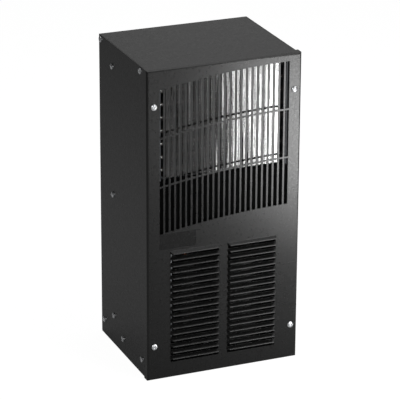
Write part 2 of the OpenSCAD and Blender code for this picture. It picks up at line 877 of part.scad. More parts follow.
module mounting_nuts() {
    color(zinc) both_sides() place_mounting_nuts() difference() {
        union() {
            bar_y(nut_body_r, back_y - nut_body_l, back_y);
            bar_y(nut_rim_r, back_y, back_y + nut_rim_t);
        }
        bar_y(nut_thread_r, back_y - nut_body_l - cut, back_y + nut_rim_t + cut);
    }
}

gasket_inset = 1;
module wall_gasket() {
    outer_x = case_x - gasket_inset;
    color(grey_foam) translate([0, back_y, 0]) along_y(gasket_t) difference() {
        translate([-outer_x, gasket_inset]) square([2 * outer_x, case_top - 2 * gasket_inset]);
        translate([-outer_x + gasket_w, gasket_inset + gasket_w])
            square([2 * (outer_x - gasket_w), case_top - 2 * (gasket_inset + gasket_w)]);
    }
}

// One coil: its first row at y = 0, its lowest tube at z = 0, its middle at x = 0.
module coil_circuit(half_w) {
    end_x = half_w + end_plate_t + coil_stub;
    for (level = [0 : coil_tubes - 1]) {
        for (row = [0, 1])
            translate([-end_x, row * row_pitch, level * tube_pitch])
                rotate([0, 90, 0]) linear_extrude(2 * end_x) ring(tube_r, tube_r - tube_wall);
        translate([end_x, row_pitch / 2, level * tube_pitch])
            rotate([0, 0, -90]) rotate_extrude(angle = 180)
                translate([row_pitch / 2, 0]) ring(tube_r, tube_r - tube_wall);
        if (level < coil_tubes - 1)
            translate([-end_x, ((coil_tubes - level) % 2) * row_pitch, (level + 0.5) * tube_pitch])
                rotate([90, 0, 0]) rotate([0, 0, 90]) rotate_extrude(angle = 180)
                    translate([tube_pitch / 2, 0]) ring(tube_r, tube_r - tube_wall);
    }
}

// A plate of a coil in (y, z), drilled for its tubes
module coil_plate_outline(margin, hole_play) {
    difference() {
        translate([-row_pitch / 2 - margin, -tube_pitch / 2 - margin])
            square([coil_d + 2 * margin, coil_h + 2 * margin]);
        for (row = [0, 1], level = [0 : coil_tubes - 1])
            translate([row * row_pitch, level * tube_pitch]) circle(tube_r + hole_play, $fn = 48);
    }
}

module coil_fins(half_w) {
    count = floor(2 * half_w / fin_pitch);
    first_x = -(count - 1) / 2 * fin_pitch;
    for (i = [0 : count - 1])
        translate([first_x + i * fin_pitch - fin_t / 2, 0, 0])
            along_x(fin_t) coil_plate_outline(0, fin_play);
}

module place_condenser() {
    translate([0, condenser_front_y + row_pitch / 2, condenser_tube_low_z]) children();
}

module place_evaporator() {
    translate([0, evaporator_back_y - row_pitch / 2, evaporator_tube_low_z])
        mirror([0, 1, 0]) children();
}

module condenser_fins() {
    color(aluminium) place_condenser() coil_fins(condenser_half_w);
}

module condenser_tubes() {
    color(copper) place_condenser() coil_circuit(condenser_half_w);
}

// End plates, each with a front flange behind the side panel's flange
module condenser_end_plates() {
    plate_x = condenser_half_w;
    flange_y = case_front_y + sheet_t;
    low_z = condenser_bottom_z - end_plate_margin;
    high_z = low_z + coil_h + 2 * end_plate_margin;
    color(galvanised) both_sides() {
        place_condenser() translate([plate_x, 0, 0]) along_x(end_plate_t)
            coil_plate_outline(end_plate_margin, fin_play);
        block([plate_x, flange_y, low_z],
            [plate_x + end_plate_t, condenser_front_y - end_plate_margin, high_z]);
        block([plate_x, flange_y, low_z],
            [plate_x + coil_flange_w, flange_y + end_plate_t, high_z]);
    }
}

// The foam plate behind the lowest row of slots, with an ear at each side
module air_baffle() {
    half_w = condenser_half_w + end_plate_t;
    low_z = label_z - baffle_drop;
    high_z = condenser_bottom_z - end_plate_margin - edge_gap;
    flange_y = case_front_y + sheet_t;
    color(grey_foam) {
        block([-half_w, baffle_y, low_z], [half_w, baffle_y + baffle_t, high_z]);
        both_sides() {
            block([condenser_half_w, flange_y, low_z], [half_w, baffle_y, high_z]);
            block([condenser_half_w, flange_y, low_z],
                [condenser_half_w + coil_flange_w, flange_y + end_plate_t, high_z]);
        }
    }
}

// A tray behind the condenser, with the fan's round opening
module condenser_fan_shroud() {
    half_w = condenser_half_w - shroud_t;
    low_z = condenser_bottom_z;
    high_z = condenser_bottom_z + coil_h;
    front = condenser_back_y + end_plate_margin;
    lip = 6;
    color(galvanised) difference() {
        union() {
            difference() {
                block([-half_w, front, low_z], [half_w, shroud_y, high_z]);
                block([-half_w + shroud_t, front - cut, low_z + shroud_t],
                    [half_w - shroud_t, shroud_y - shroud_t, high_z - shroud_t]);
            }
            both_sides() block([half_w - shroud_t, front, low_z], [condenser_half_w + end_plate_t,
                front + shroud_t, high_z]);
            translate([0, 0, fan_z])
                bar_y(fan_r + fan_tip_gap + shroud_t, shroud_y - shroud_t, shroud_y + lip);
        }
        translate([0, 0, fan_z]) bar_y(fan_r + fan_tip_gap, shroud_y - shroud_d, shroud_y + lip + cut);
    }
}

// A cambered blade that reaches from the axis of z to tip_r along x
module fan_blade(root_r, tip_r, chord, thickness, pitch, depth) {
    camber_r = chord * 1.1;
    intersection() {
        translate([0, 0, -depth / 2]) linear_extrude(depth) ring(tip_r, root_r);
        rotate([pitch, 0, 0]) translate([root_r, 0, -camber_r]) rotate([90, 0, 90])
            linear_extrude(tip_r - root_r) intersection() {
                ring(camber_r + thickness / 2, camber_r - thickness / 2);
                translate([-chord / 2, 0]) square([chord, 2 * camber_r]);
            }
    }
}

module condenser_fan() {
    mid_y = (hub_front_y + hub_back_y) / 2;
    blade_root_r = fan_hub_r - fan_hub_h * 0.2;
    color(aluminium) translate([0, mid_y, fan_z]) rotate([-90, 0, 0]) difference() {
        union() {
            cylinder(h = fan_hub_h, r = fan_hub_r, center = true);
            for (i = [0 : fan_blades - 1])
                rotate(i * 360 / fan_blades)
                    fan_blade(blade_root_r, fan_r, fan_chord, fan_blade_t, fan_pitch, fan_chord);
        }
        cylinder(h = fan_hub_h + fan_chord, r = shaft_r, center = true);
        translate([0, 0, fan_hub_h * 0.2]) cylinder(h = fan_hub_h, r = fan_hub_r * 0.72);
    }
}

shaft_tip = 4;
module condenser_fan_shaft() {
    color(zinc) translate([0, 0, fan_z])
        bar_y(shaft_r, hub_front_y - shaft_tip, motor_back_y - motor_l * 0.3);
}

module condenser_fan_motor() {
    step_l = motor_l * 0.2;
    boss_r = motor_r * 0.35;
    color(black_plastic) translate([0, 0, fan_z]) difference() {
        union() {
            bar_y(motor_r, motor_front_y + step_l, motor_back_y - step_l);
            bar_y(motor_r * 0.8, motor_front_y + step_l / 2, motor_back_y);
            bar_y(boss_r, motor_front_y, motor_back_y);
        }
        bar_y(shaft_r + bearing_play, motor_front_y - cut, motor_back_y - motor_l * 0.25);
    }
}

// A plate on the partition and four posts that carry the fan motor
module condenser_fan_bracket() {
    post_circle = motor_r * 0.5;
    color(galvanised) {
        block([-bracket_w / 2, partition_y - bracket_t, fan_z - bracket_w / 2],
            [bracket_w / 2, partition_y, fan_z + bracket_w / 2]);
        for (x = [-1, 1], z = [-1, 1])
            translate([x * post_circle, 0, fan_z + z * post_circle])
                bar_y(post_r, motor_back_y, partition_y - bracket_t);
    }
}

module evaporator_fins() {
    color(aluminium) place_evaporator() coil_fins(evaporator_half_w);
}

module evaporator_tubes() {
    color(copper) place_evaporator() coil_circuit(evaporator_half_w);
}

// End plates, each with a back flange against the back plate
module evaporator_end_plates() {
    plate_x = evaporator_half_w;
    low_z = evaporator_z - end_plate_margin;
    high_z = low_z + coil_h + 2 * end_plate_margin;
    reach = case_x - back_flange_w - plate_x - edge_gap;
    color(galvanised) both_sides() {
        place_evaporator() translate([plate_x, 0, 0]) along_x(end_plate_t)
            coil_plate_outline(end_plate_margin, fin_play);
        block([plate_x, evaporator_back_y + end_plate_margin, low_z],
            [plate_x + end_plate_t, back_in_y, high_z]);
        block([plate_x, back_in_y - end_plate_t, low_z], [plate_x + reach, back_in_y, high_z]);
    }
}

// The square frame of the enclosure fan, with its struts and motor base
module enclosure_fan_frame() {
    half_w = frame_w / 2;
    color(black_plastic) {
        difference() {
            block([-half_w, frame_front_y, frame_z - half_w], [half_w, back_in_y, frame_z + half_w]);
            translate([0, 0, frame_z]) bar_y(fan_bore_r, frame_front_y - cut, back_in_y + cut);
            place_frame_screws() bar_y(frame_screw_r + thread_play, frame_front_y - cut, back_in_y + cut);
        }
        translate([0, 0, frame_z]) difference() {
            union() {
                bar_y(cup_r, frame_front_y, frame_front_y + frame_base_t);
                for (angle = [45, 135])
                    rotate([0, angle, 0])
                        block([-fan_bore_r - frame_wall / 2, frame_front_y, -strut_w / 2],
                            [fan_bore_r + frame_wall / 2, frame_front_y + frame_base_t, strut_w / 2]);
            }
            bar_y(shaft_r + bearing_play, frame_front_y - cut, frame_front_y + frame_base_t + cut);
        }
    }
}

stator_gap = 1;
cup_gap = 1.5;
cup_blade_pitch = 42;
cup_y = frame_front_y + frame_base_t + cup_gap;
cup_end_y = back_in_y - 2 * cup_gap;

module enclosure_fan_stator() {
    color(copper) translate([0, 0, frame_z]) difference() {
        bar_y(cup_r - cup_wall - stator_gap, frame_front_y + frame_base_t,
            cup_end_y - cup_wall - 2 * stator_gap);
        bar_y(shaft_r + bearing_play, frame_front_y, cup_end_y);
    }
}

// A cup round the stator, with its shaft and its blades
module enclosure_fan_rotor() {
    tip_r = fan_bore_r - frame_tip_gap;
    depth = cup_end_y - cup_y;
    blade_chord = depth * 1.25;
    color(black_plastic) translate([0, 0, frame_z]) {
        difference() {
            bar_y(cup_r, cup_y, cup_end_y);
            bar_y(cup_r - cup_wall, cup_y - cut, cup_end_y - cup_wall);
        }
        bar_y(shaft_r, frame_front_y + cup_gap, cup_end_y - cup_wall / 2);
        translate([0, (cup_y + cup_end_y) / 2, 0]) rotate([-90, 0, 0])
            for (i = [0 : cup_blades - 1])
                rotate(i * 360 / cup_blades)
                    fan_blade(cup_r - cup_wall / 2, tip_r, blade_chord, cup_wall * 0.8,
                        cup_blade_pitch, depth);
    }
}

module enclosure_fan_screws() {
    color(zinc) place_frame_screws() {
        bar_y(frame_screw_r, back_in_y - frame_d * 0.4, back_y);
        bar_y(frame_screw_r * 1.9, back_y, back_y + frame_screw_r);
    }
}

// The tray under the evaporator, hung on the back plate
module drain_pan() {
    front = insulation_back_y + edge_gap;
    color(galvanised) difference() {
        block([-pan_half_w, front, pan_z], [pan_half_w, back_in_y, pan_z + pan_h]);
        block([-pan_half_w + pan_t, front + pan_t, pan_z + pan_t],
            [pan_half_w - pan_t, back_in_y - pan_t, pan_z + pan_h + cut]);
        translate([drain_x, drain_y, pan_z - cut]) cylinder(h = pan_t + 2 * cut, r = drain_tube_r);
    }
}

fitting_h = 22;
module drain_tube() {
    color(black_plastic) translate([drain_x, drain_y, fitting_h]) difference() {
        cylinder(h = pan_z - fitting_h, r = drain_r + fitting_wall * 0.7);
        bar_z(drain_tube_r, -cut, pan_z - fitting_h + cut);
    }
}

// The drain's outlet, flush with the underside of the base
module drain_fitting() {
    rim_h = 4;
    color(black_plastic) translate([drain_x, drain_y, 0]) difference() {
        union() {
            cylinder(h = fitting_h, r = drain_r + fitting_wall);
            translate([0, 0, sheet_t]) cylinder(h = rim_h, r = drain_r + 2 * fitting_wall);
        }
        bar_z(drain_r, -cut, fitting_h + cut);
    }
}

// Half outline of the shell, grown inwards by inset
module shell_outline(inset) {
    r = shell_r - inset;
    dish = dish_h - inset;
    dish_r = (pow(r, 2) + pow(dish, 2)) / (2 * dish);
    straight = shell_h - 2 * dish_h;
    translate([0, dish_h]) square([r, straight]);
    for (end = [0, 1])
        translate([0, dish_h + end * straight]) mirror([0, 1 - end, 0])
            intersection() {
                translate([0, dish - dish_r]) circle(dish_r, $fn = fine_fn);
                square([r, dish]);
            }
}

module shell_wall_outline() {
    difference() {
        shell_outline(0);
        shell_outline(shell_wall);
    }
}

module place_compressor() {
    translate([compressor_x, compressor_centre_y, 0]) children();
}

module compressor_shell() {
    color(black_paint) place_compressor() difference() {
        translate([0, 0, shell_z]) rotate_extrude() intersection() {
            shell_wall_outline();
            square([shell_r, shell_seam_z - shell_z]);
        }
        translate([0, 0, elbow_z]) bar_x(line_r + thread_play, -shell_r - cut, -shell_in_r + cut);
    }
}

// The shell's upper half, with its weld collar
module compressor_lid() {
    collar_h = 8;
    color(black_paint) place_compressor() difference() {
        union() {
            translate([0, 0, shell_z]) rotate_extrude() intersection() {
                shell_wall_outline();
                translate([0, shell_seam_z - shell_z]) square([shell_r, shell_h]);
            }
            translate([0, 0, shell_seam_z]) rotate_extrude()
                translate([shell_r - sheet_t, 0]) square([2 * sheet_t, collar_h]);
        }
        cylinder(h = shell_z + shell_h + cut, r = line_r + thread_play);
    }
}

// The foot plate: a ring round the shell with three lobes
module compressor_feet() {
    color(black_paint) place_compressor() translate([0, 0, foot_plate_z])
        linear_extrude(foot_plate_t) difference() {
            union() {
                circle(shell_r + foot_plate_t);
                for (angle = [90, 210, 330])
                    rotate(angle) {
                        translate([feet_circle_r, 0]) circle(foot_lobe_r);
                        translate([0, -foot_lobe_r]) square([feet_circle_r, 2 * foot_lobe_r]);
                    }
            }
            circle(shell_r + thread_play);
            for (angle = [90, 210, 330])
                rotate(angle) translate([feet_circle_r, 0]) circle(foot_r * 0.7);
        }
}

grommet_top_h = 5;
module compressor_grommets() {
    neck_r = foot_r * 0.7 - thread_play;
    color(black_plastic) place_studs() difference() {
        union() {
            translate([0, 0, sheet_t]) cylinder(h = foot_plate_z - sheet_t, r = foot_r);
            cylinder(h = foot_plate_z + foot_plate_t + grommet_top_h / 2, r = neck_r);
            translate([0, 0, foot_plate_z + foot_plate_t]) cylinder(h = grommet_top_h, r = foot_r);
        }
        translate([0, 0, -cut]) cylinder(h = foot_plate_z + 3 * grommet_top_h, r = stud_r + inner_play);
        bar_z(foot_r, -cut, sheet_t);
    }
}

stud_top_z = foot_plate_z + foot_plate_t + grommet_top_h;
nut_h = 5;
module compressor_studs() {
    color(zinc) place_studs() translate([0, 0, sheet_t])
        cylinder(h = stud_top_z + nut_h * 1.4 - sheet_t, r = stud_r);
}

module compressor_nuts() {
    color(zinc) place_studs() translate([0, 0, stud_top_z]) difference() {
        cylinder(h = nut_h, r = stud_r * 1.9, $fn = 6);
        bar_z(stud_r + thread_play, -cut, nut_h + cut);
    }
}

// The pump's cylinder block, with the vane's slot
module pump_cylinder() {
    vane_w = 3;
    color(galvanised) place_compressor() translate([0, 0, pump_z]) difference() {
        cylinder(h = cylinder_h, r = shell_in_r - inner_play);
        bar_z(cylinder_r, -cut, cylinder_h + cut);
        translate([0, 0, -cut]) linear_extrude(cylinder_h + 2 * cut)
            translate([cylinder_r - vane_w, -vane_w / 2]) square([cylinder_r * 0.7, vane_w]);
    }
}

// The two bearings that close the cylinder above and below
module pump_bearings() {
    flange_r = shell_in_r * 0.85;
    color(galvanised) place_compressor() difference() {
        union() {
            translate([0, 0, pump_z - bearing_h]) cylinder(h = bearing_h, r = flange_r);
            translate([0, 0, pump_z + cylinder_h]) {
                cylinder(h = bearing_h, r = flange_r);
                cylinder(h = bearing_h + bearing_boss_h, r = bearing_boss_r);
            }
        }
        cylinder(h = iron_z, r = crank_r + bearing_play);
    }
}

// The crankshaft, with its eccentric turned towards the vane
eccentric_wall = 2;
eccentric_r = crank_r + crank_throw + eccentric_wall;
module pump_crankshaft() {
    color(zinc) place_compressor() {
        translate([0, 0, pump_z - bearing_h]) cylinder(h = iron_z + iron_h - pump_z + bearing_h, r = crank_r);
        translate([crank_throw, 0, pump_z + inner_play])
            cylinder(h = cylinder_h - 2 * inner_play, r = eccentric_r);
    }
}

module pump_roller() {
    inner_r = eccentric_r + bearing_play;
    outer_r = cylinder_r - crank_throw - inner_play;
    color(zinc) place_compressor() translate([crank_throw, 0, pump_z + inner_play])
        linear_extrude(cylinder_h - 2 * inner_play) ring(outer_r, inner_r);
}

// The motor's slotted iron, with its windings above and below
module motor_stator() {
    teeth = 12;
    slot_depth_share = 0.45;
    mid_r = (shell_in_r + rotor_r) / 2;
    half_w = (shell_in_r - rotor_r) * 0.3;
    color(galvanised) place_compressor() {
        translate([0, 0, iron_z]) linear_extrude(iron_h) difference() {
            ring(shell_in_r - inner_play, rotor_r + air_gap);
            for (i = [0 : teeth - 1])
                rotate(i * 360 / teeth) translate([rotor_r + 2 * sheet_t, -sheet_t])
                    square([(shell_in_r - rotor_r) * slot_depth_share, 2 * sheet_t]);
        }
        for (z = [iron_z - winding_h, iron_z + iron_h])
            translate([0, 0, z]) linear_extrude(winding_h) ring(mid_r + half_w, mid_r - half_w);
    }
}

module motor_rotor() {
    color(galvanised) place_compressor() translate([0, 0, iron_z])
        linear_extrude(iron_h) ring(rotor_r, crank_r);
}

// The cap over the compressor's terminals
terminal_cover_r = 15;
terminal_cover_h = 20;
module terminal_cover() {
    offset_x = shell_r * 0.5;
    color(black_plastic) place_compressor() translate([0, 0, shell_z]) difference() {
        translate([offset_x, 0, shell_h - dish_h]) cylinder(h = terminal_cover_h, r = terminal_cover_r);
        rotate_extrude() shell_outline(-thread_play);
    }
}

// A bent tube through points, round at every corner
function unit(v) = v / norm(v);
function turn_angle(points, i) =
    acos(unit(points[i] - points[i - 1]) * unit(points[i + 1] - points[i]));
function trim(points, i, bend) =
    i == 0 || i == len(points) - 1 ? 0 : bend * tan(turn_angle(points, i) / 2);

// Turns children so that their z points along a and their x along b
module along(origin, a, b) {
    side = unit(b - (b * a) * a);
    up = cross(a, side);
    multmatrix([[side[0], up[0], a[0], origin[0]], [side[1], up[1], a[1], origin[1]],
        [side[2], up[2], a[2], origin[2]], [0, 0, 0, 1]]) children();
}

module bent_tube(points, r, wall, bend) {
    last = len(points) - 1;
    for (i = [0 : last - 1]) {
        a = unit(points[i + 1] - points[i]);
        b = abs(a[2]) < 0.9 ? [0, 0, 1] : [1, 0, 0];
        start = trim(points, i, bend);
        length = norm(points[i + 1] - points[i]) - start - trim(points, i + 1, bend);
        along(points[i] + start * a, a, b) linear_extrude(length) ring(r, r - wall);
    }
    for (i = [1 : last - 1]) {
        a = unit(points[i] - points[i - 1]);
        c = unit(points[i + 1] - points[i]);
        along(points[i] - trim(points, i, bend) * a, a, c)
            translate([bend, 0, 0]) rotate([90, 0, 0]) mirror([1, 0, 0])
                rotate_extrude(angle = turn_angle(points, i))
                    translate([bend, 0]) ring(r, r - wall);
    }
}

// The can whose outlet is bent into the shell
module suction_accumulator() {
    neck_h = accumulator_neck_h;
    neck_r = line_r + tube_wall;
    color(black_paint) {
        translate([accumulator_x, compressor_centre_y, accumulator_z]) difference() {
            union() {
                cylinder(h = accumulator_h, r = accumulator_r);
                translate([0, 0, -neck_h]) cylinder(h = neck_h, r1 = neck_r, r2 = accumulator_r);
                translate([0, 0, accumulator_h]) cylinder(h = neck_h, r1 = accumulator_r, r2 = neck_r);
            }
            translate([0, 0, -neck_h - cut]) cylinder(h = 2 * neck_h, r = line_r - tube_wall);
            cylinder(h = accumulator_h, r = accumulator_r - 2 * tube_wall);
            cylinder(h = accumulator_h + 2 * neck_h, r = line_r + thread_play);
        }
        bent_tube([[accumulator_x, compressor_centre_y, accumulator_z],
            [accumulator_x, compressor_centre_y, elbow_z],
            [compressor_x - shell_in_r, compressor_centre_y, elbow_z]], line_r, tube_wall, line_bend_r);
    }
}

// Places of the lines
line_stub = 1;
line_rise = 70;
line_rise_z = shell_z + shell_h + line_rise;
side_run_x = condenser_port_x - line_bend_r - line_stub;
suction_x = evaporator_port_x - line_bend_r - line_stub;
suction_rise_y = partition_y - 2.5 * line_bend_r;
suction_cross_z = box_z + box_h + 2 * line_bend_r + line_r;
capillary_z = box_z + box_h + 2 * capillary_bend_r + capillary_r;
capillary_up_y = insulation_back_y + capillary_bend_r + capillary_r;
drier_r = 9.5;
drier_h = stepped(0.15 * cabinet_h);
drier_drop = stepped(0.059 * cabinet_h);
drier_z = condenser_tube_low_z - drier_drop - drier_h;

module discharge_line() {
    color(copper) bent_tube([[compressor_x, compressor_centre_y, shell_z + shell_h - shell_wall],
        [compressor_x, compressor_centre_y, line_rise_z],
        [side_run_x, compressor_centre_y, line_rise_z],
        [side_run_x, compressor_centre_y, condenser_tube_high_z],
        [side_run_x, condenser_port_y, condenser_tube_high_z],
        [condenser_port_x, condenser_port_y, condenser_tube_high_z]], line_r, tube_wall, line_bend_r);
}

module liquid_line() {
    color(copper) bent_tube([[condenser_port_x, condenser_port_y, condenser_tube_low_z],
        [side_run_x, condenser_port_y, condenser_tube_low_z],
        [side_run_x, condenser_port_y, drier_z + drier_h]], line_r, tube_wall, line_bend_r);
}

module filter_drier() {
    neck_h = 8;
    color(copper) translate([side_run_x, condenser_port_y, drier_z]) difference() {
        union() {
            cylinder(h = neck_h, r1 = line_r, r2 = drier_r);
            translate([0, 0, neck_h]) cylinder(h = drier_h - 2 * neck_h, r = drier_r);
            translate([0, 0, drier_h - neck_h]) cylinder(h = neck_h, r1 = drier_r, r2 = line_r);
        }
        bar_z(capillary_r + thread_play, -cut, neck_h);
    }
}

// The thin tube to the evaporator, with the reducer at its end
module capillary_tube() {
    reducer_l = 2 * line_r;
    color(copper) {
        bent_tube([[side_run_x, condenser_port_y, drier_z + capillary_bend_r],
            [side_run_x, condenser_port_y, capillary_z],
            [side_run_x, capillary_up_y, capillary_z],
            [side_run_x, capillary_up_y, evaporator_tube_high_z],
            [side_run_x, evaporator_port_y, evaporator_tube_high_z],
            [evaporator_port_x, evaporator_port_y, evaporator_tube_high_z]],
            capillary_r, capillary_wall, capillary_bend_r);
        translate([evaporator_port_x - reducer_l, evaporator_port_y, evaporator_tube_high_z])
            rotate([0, 90, 0]) linear_extrude(reducer_l) ring(line_r, capillary_r - capillary_wall / 2);
    }
}

module suction_line() {
    color(copper) bent_tube([[evaporator_port_x, evaporator_port_y, evaporator_tube_low_z],
        [suction_x, evaporator_port_y, evaporator_tube_low_z],
        [suction_x, suction_rise_y, evaporator_tube_low_z],
        [suction_x, suction_rise_y, suction_cross_z],
        [accumulator_x, suction_rise_y, suction_cross_z],
        [accumulator_x, compressor_centre_y, suction_cross_z],
        [accumulator_x, compressor_centre_y, accumulator_z + accumulator_h]],
        line_r, tube_wall, line_bend_r);
}

grommet_wall = 3;
module line_places() {
    translate([suction_x, 0, evaporator_tube_low_z]) children(0);
    translate([side_run_x, 0, capillary_z]) children(1);
}

// Holes in the partition and the insulation for the two lines
module line_holes(y_from, y_to) {
    line_places() {
        bar_y(line_r + grommet_wall, y_from, y_to);
        bar_y(capillary_r + tube_wall + edge_gap, y_from, y_to);
    }
}

module grommet(outer_r, tube_r) {
    difference() {
        bar_y(outer_r, partition_y, insulation_back_y);
        bar_y(tube_r + thread_play, partition_y - cut, insulation_back_y + cut);
    }
}

// The bushing round the supply cable, in the back plate
module cable_bushing() {
    rim_t = 1.5;
    translate([-cable_x, 0, cable_z]) difference() {
        union() {
            bar_y(cable_r + bushing_wall, back_in_y - 4 * rim_t, back_y);
            bar_y(cable_r + 2 * bushing_wall, back_y, back_y + rim_t);
        }
        bar_y(cable_r, back_in_y - 5 * rim_t, back_y + 2 * rim_t);
    }
}

// The grommets of the two lines, and the bushing of the cable
module line_grommets() {
    color(black_plastic) {
        line_places() {
            grommet(line_r + grommet_wall, line_r);
            grommet(capillary_r + tube_wall + edge_gap, capillary_r);
        }
        cable_bushing();
    }
}

// Control box on the left side panel
box_x = -side_in_x;
box_front_y = front_y + box_y;
box_back_y = box_front_y + box_l;
knob_x = box_x + box_w / 2;
knob_z = box_z + box_h * 0.8;
knob_gap = 0.8;
lid_t = 1;

module control_box() {
    color(galvanised) difference() {
        block([box_x, box_front_y, box_z], [box_x + box_w, box_back_y, box_z + box_h]);
        block([box_x + box_t, box_front_y + box_t, box_z + box_t],
            [box_x + box_w + cut, box_back_y - box_t, box_z + box_h - box_t]);
        translate([knob_x, 0, knob_z])
            bar_y(shaft_r + screw_play, box_front_y - cut, box_front_y + box_t + cut);
    }
}

module control_box_cover() {
    color(galvanised)
        block([box_x + box_w, box_front_y, box_z], [box_x + box_w + lid_t, box_back_y, box_z + box_h]);
}

module run_capacitor() {
    can_r = box_w * 0.4;
    can_h = box_h * 0.42;
    stud_h = 8;
    color(aluminium)
        translate([box_x + box_w / 2, box_back_y - box_t - can_r - edge_gap, box_z + box_t]) {
            cylinder(h = can_h, r = can_r);
            for (side = [-1, 1])
                translate([0, side * can_r / 2, can_h]) cylinder(h = stud_h, r = stud_r);
        }
}

module terminal_block() {
    ways = 5;
    way_l = 7;
    depth = 14;
    height = 18;
    low_z = box_z + box_h * 0.62;
    first_y = box_back_y - box_t - ways * way_l - way_l / 2;
    color(black_plastic) difference() {
        block([box_x + box_t, first_y, low_z],
            [box_x + box_t + depth, first_y + ways * way_l, low_z + height]);
        for (i = [0 : ways - 1])
            translate([0, first_y + (i + 0.5) * way_l, low_z + height / 2])
                bar_x(way_l * 0.3, box_x + box_t + depth / 2, box_x + box_t + depth + cut);
    }
}

thermostat_w = 30;
thermostat_l = 26;
knob_front_y = box_front_y - knob_gap - knob_l;
module thermostat() {
    y = box_front_y + box_t;
    color(black_plastic) difference() {
        block([knob_x - thermostat_w / 2, y, knob_z - thermostat_w / 2],
            [knob_x + thermostat_w / 2, y + thermostat_l, knob_z + thermostat_w / 2]);
        translate([knob_x, 0, knob_z]) bar_y(shaft_r + bearing_play, y - cut, y + thermostat_l / 2);
        block([knob_x - thermostat_w / 2 - cut, y + thermostat_l * 0.7, knob_z - thermostat_w / 2 - cut],
            [knob_x + thermostat_w / 2 + cut, y + thermostat_l + cut, knob_z - thermostat_w / 4]);
    }
}

// The knob with its spindle, which turns in the thermostat
module thermostat_knob() {
    flutes = 8;
    flute_r = knob_r * 0.18;
    color(black_plastic) translate([knob_x, 0, knob_z]) {
        difference() {
            bar_y(knob_r, knob_front_y, box_front_y - knob_gap);
            for (i = [0 : flutes - 1])
                rotate([0, i * 360 / flutes, 0]) translate([knob_r, 0, 0])
                    bar_y(flute_r, knob_front_y - cut, box_front_y);
            block([-flute_r / 2, knob_front_y - cut, knob_r * 0.3],
                [flute_r / 2, knob_front_y + knob_l * 0.15, knob_r + cut]);
        }
        bar_y(shaft_r, knob_front_y + knob_l / 2, box_front_y + box_t + thermostat_l * 0.4);
    }
}

front_panel();
label_plate();
front_panel_screws();
panel_weld_nuts();
left_side_panel();
right_side_panel();
top_panel();
base_pan();
back_plate();
side_screws();
partition();
back_plate_rivets();
mounting_nuts();
wall_gasket();
insulation_panel();
condenser_fins();
condenser_tubes();
condenser_end_plates();
air_baffle();
condenser_fan_shroud();
condenser_fan();
condenser_fan_shaft();
condenser_fan_motor();
condenser_fan_bracket();
evaporator_fins();
evaporator_tubes();
evaporator_end_plates();
enclosure_fan_frame();
enclosure_fan_stator();
enclosure_fan_rotor();
enclosure_fan_screws();
drain_pan();
drain_tube();
drain_fitting();
compressor_shell();
compressor_lid();
compressor_feet();
compressor_grommets();
compressor_studs();
compressor_nuts();
pump_cylinder();
pump_bearings();
pump_crankshaft();
pump_roller();
motor_stator();
motor_rotor();
terminal_cover();
suction_accumulator();
discharge_line();
suction_line();
liquid_line();
filter_drier();
capillary_tube();
line_grommets();
control_box();
control_box_cover();
run_capacitor();
terminal_block();
thermostat();
thermostat_knob();
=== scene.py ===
import json
import math

import bmesh
import bpy
from mathutils import Matrix, Vector


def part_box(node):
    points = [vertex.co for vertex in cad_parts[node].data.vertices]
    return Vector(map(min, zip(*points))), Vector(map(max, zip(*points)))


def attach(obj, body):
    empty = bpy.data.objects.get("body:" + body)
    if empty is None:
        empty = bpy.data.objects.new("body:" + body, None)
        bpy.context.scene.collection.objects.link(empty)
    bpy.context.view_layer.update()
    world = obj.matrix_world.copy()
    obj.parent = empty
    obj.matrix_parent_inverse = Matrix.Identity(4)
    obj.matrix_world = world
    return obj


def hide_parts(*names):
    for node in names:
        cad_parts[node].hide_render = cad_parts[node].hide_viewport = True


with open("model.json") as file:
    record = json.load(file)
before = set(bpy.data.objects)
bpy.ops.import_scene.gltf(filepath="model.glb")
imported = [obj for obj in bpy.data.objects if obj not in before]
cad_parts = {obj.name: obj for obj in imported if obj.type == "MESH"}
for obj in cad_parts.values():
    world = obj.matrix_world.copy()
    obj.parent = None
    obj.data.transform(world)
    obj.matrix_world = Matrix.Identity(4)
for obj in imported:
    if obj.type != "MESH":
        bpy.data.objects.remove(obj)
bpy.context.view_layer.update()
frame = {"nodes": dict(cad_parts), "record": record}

MM = 0.001
NODES = frame["nodes"]


# The camera stands where the photograph's did

CAMERA_PLACE = (-1.3792, -3.3184, 1.6436)
CAMERA_AZIMUTH = -22.616
CAMERA_ELEVATION = 21.229
CAMERA_ROLL = 0.278
CAMERA_LENS = 219.96
CAMERA_SENSOR = 36
FARTHEST_SEEN = 60


def place_camera():
    angles = (CAMERA_AZIMUTH, CAMERA_ELEVATION, CAMERA_ROLL)
    azimuth, elevation, roll = (math.radians(angle) for angle in angles)
    back = Vector((math.sin(azimuth) * math.cos(elevation),
                   -math.cos(azimuth) * math.cos(elevation), math.sin(elevation)))
    level = (-back).cross(Vector((0, 0, 1))).normalized()
    upright = level.cross(-back)
    right = level * math.cos(roll) + upright * math.sin(roll)
    up = upright * math.cos(roll) - level * math.sin(roll)
    data = bpy.data.cameras.new("camera")
    data.sensor_width = CAMERA_SENSOR
    data.lens = CAMERA_LENS
    data.clip_end = FARTHEST_SEEN
    camera = bpy.data.objects.new("camera", data)
    turn = Matrix((right, up, back)).transposed().to_4x4()
    camera.matrix_world = Matrix.Translation(CAMERA_PLACE) @ turn
    bpy.context.scene.collection.objects.link(camera)
    bpy.context.scene.camera = camera


place_camera()


# Node trees

NUMBER, COUNT, VECTOR, GEOMETRY, METAL = (
    "NodeSocket" + kind for kind in ("Float", "Int", "Vector", "Geometry", "Material"))


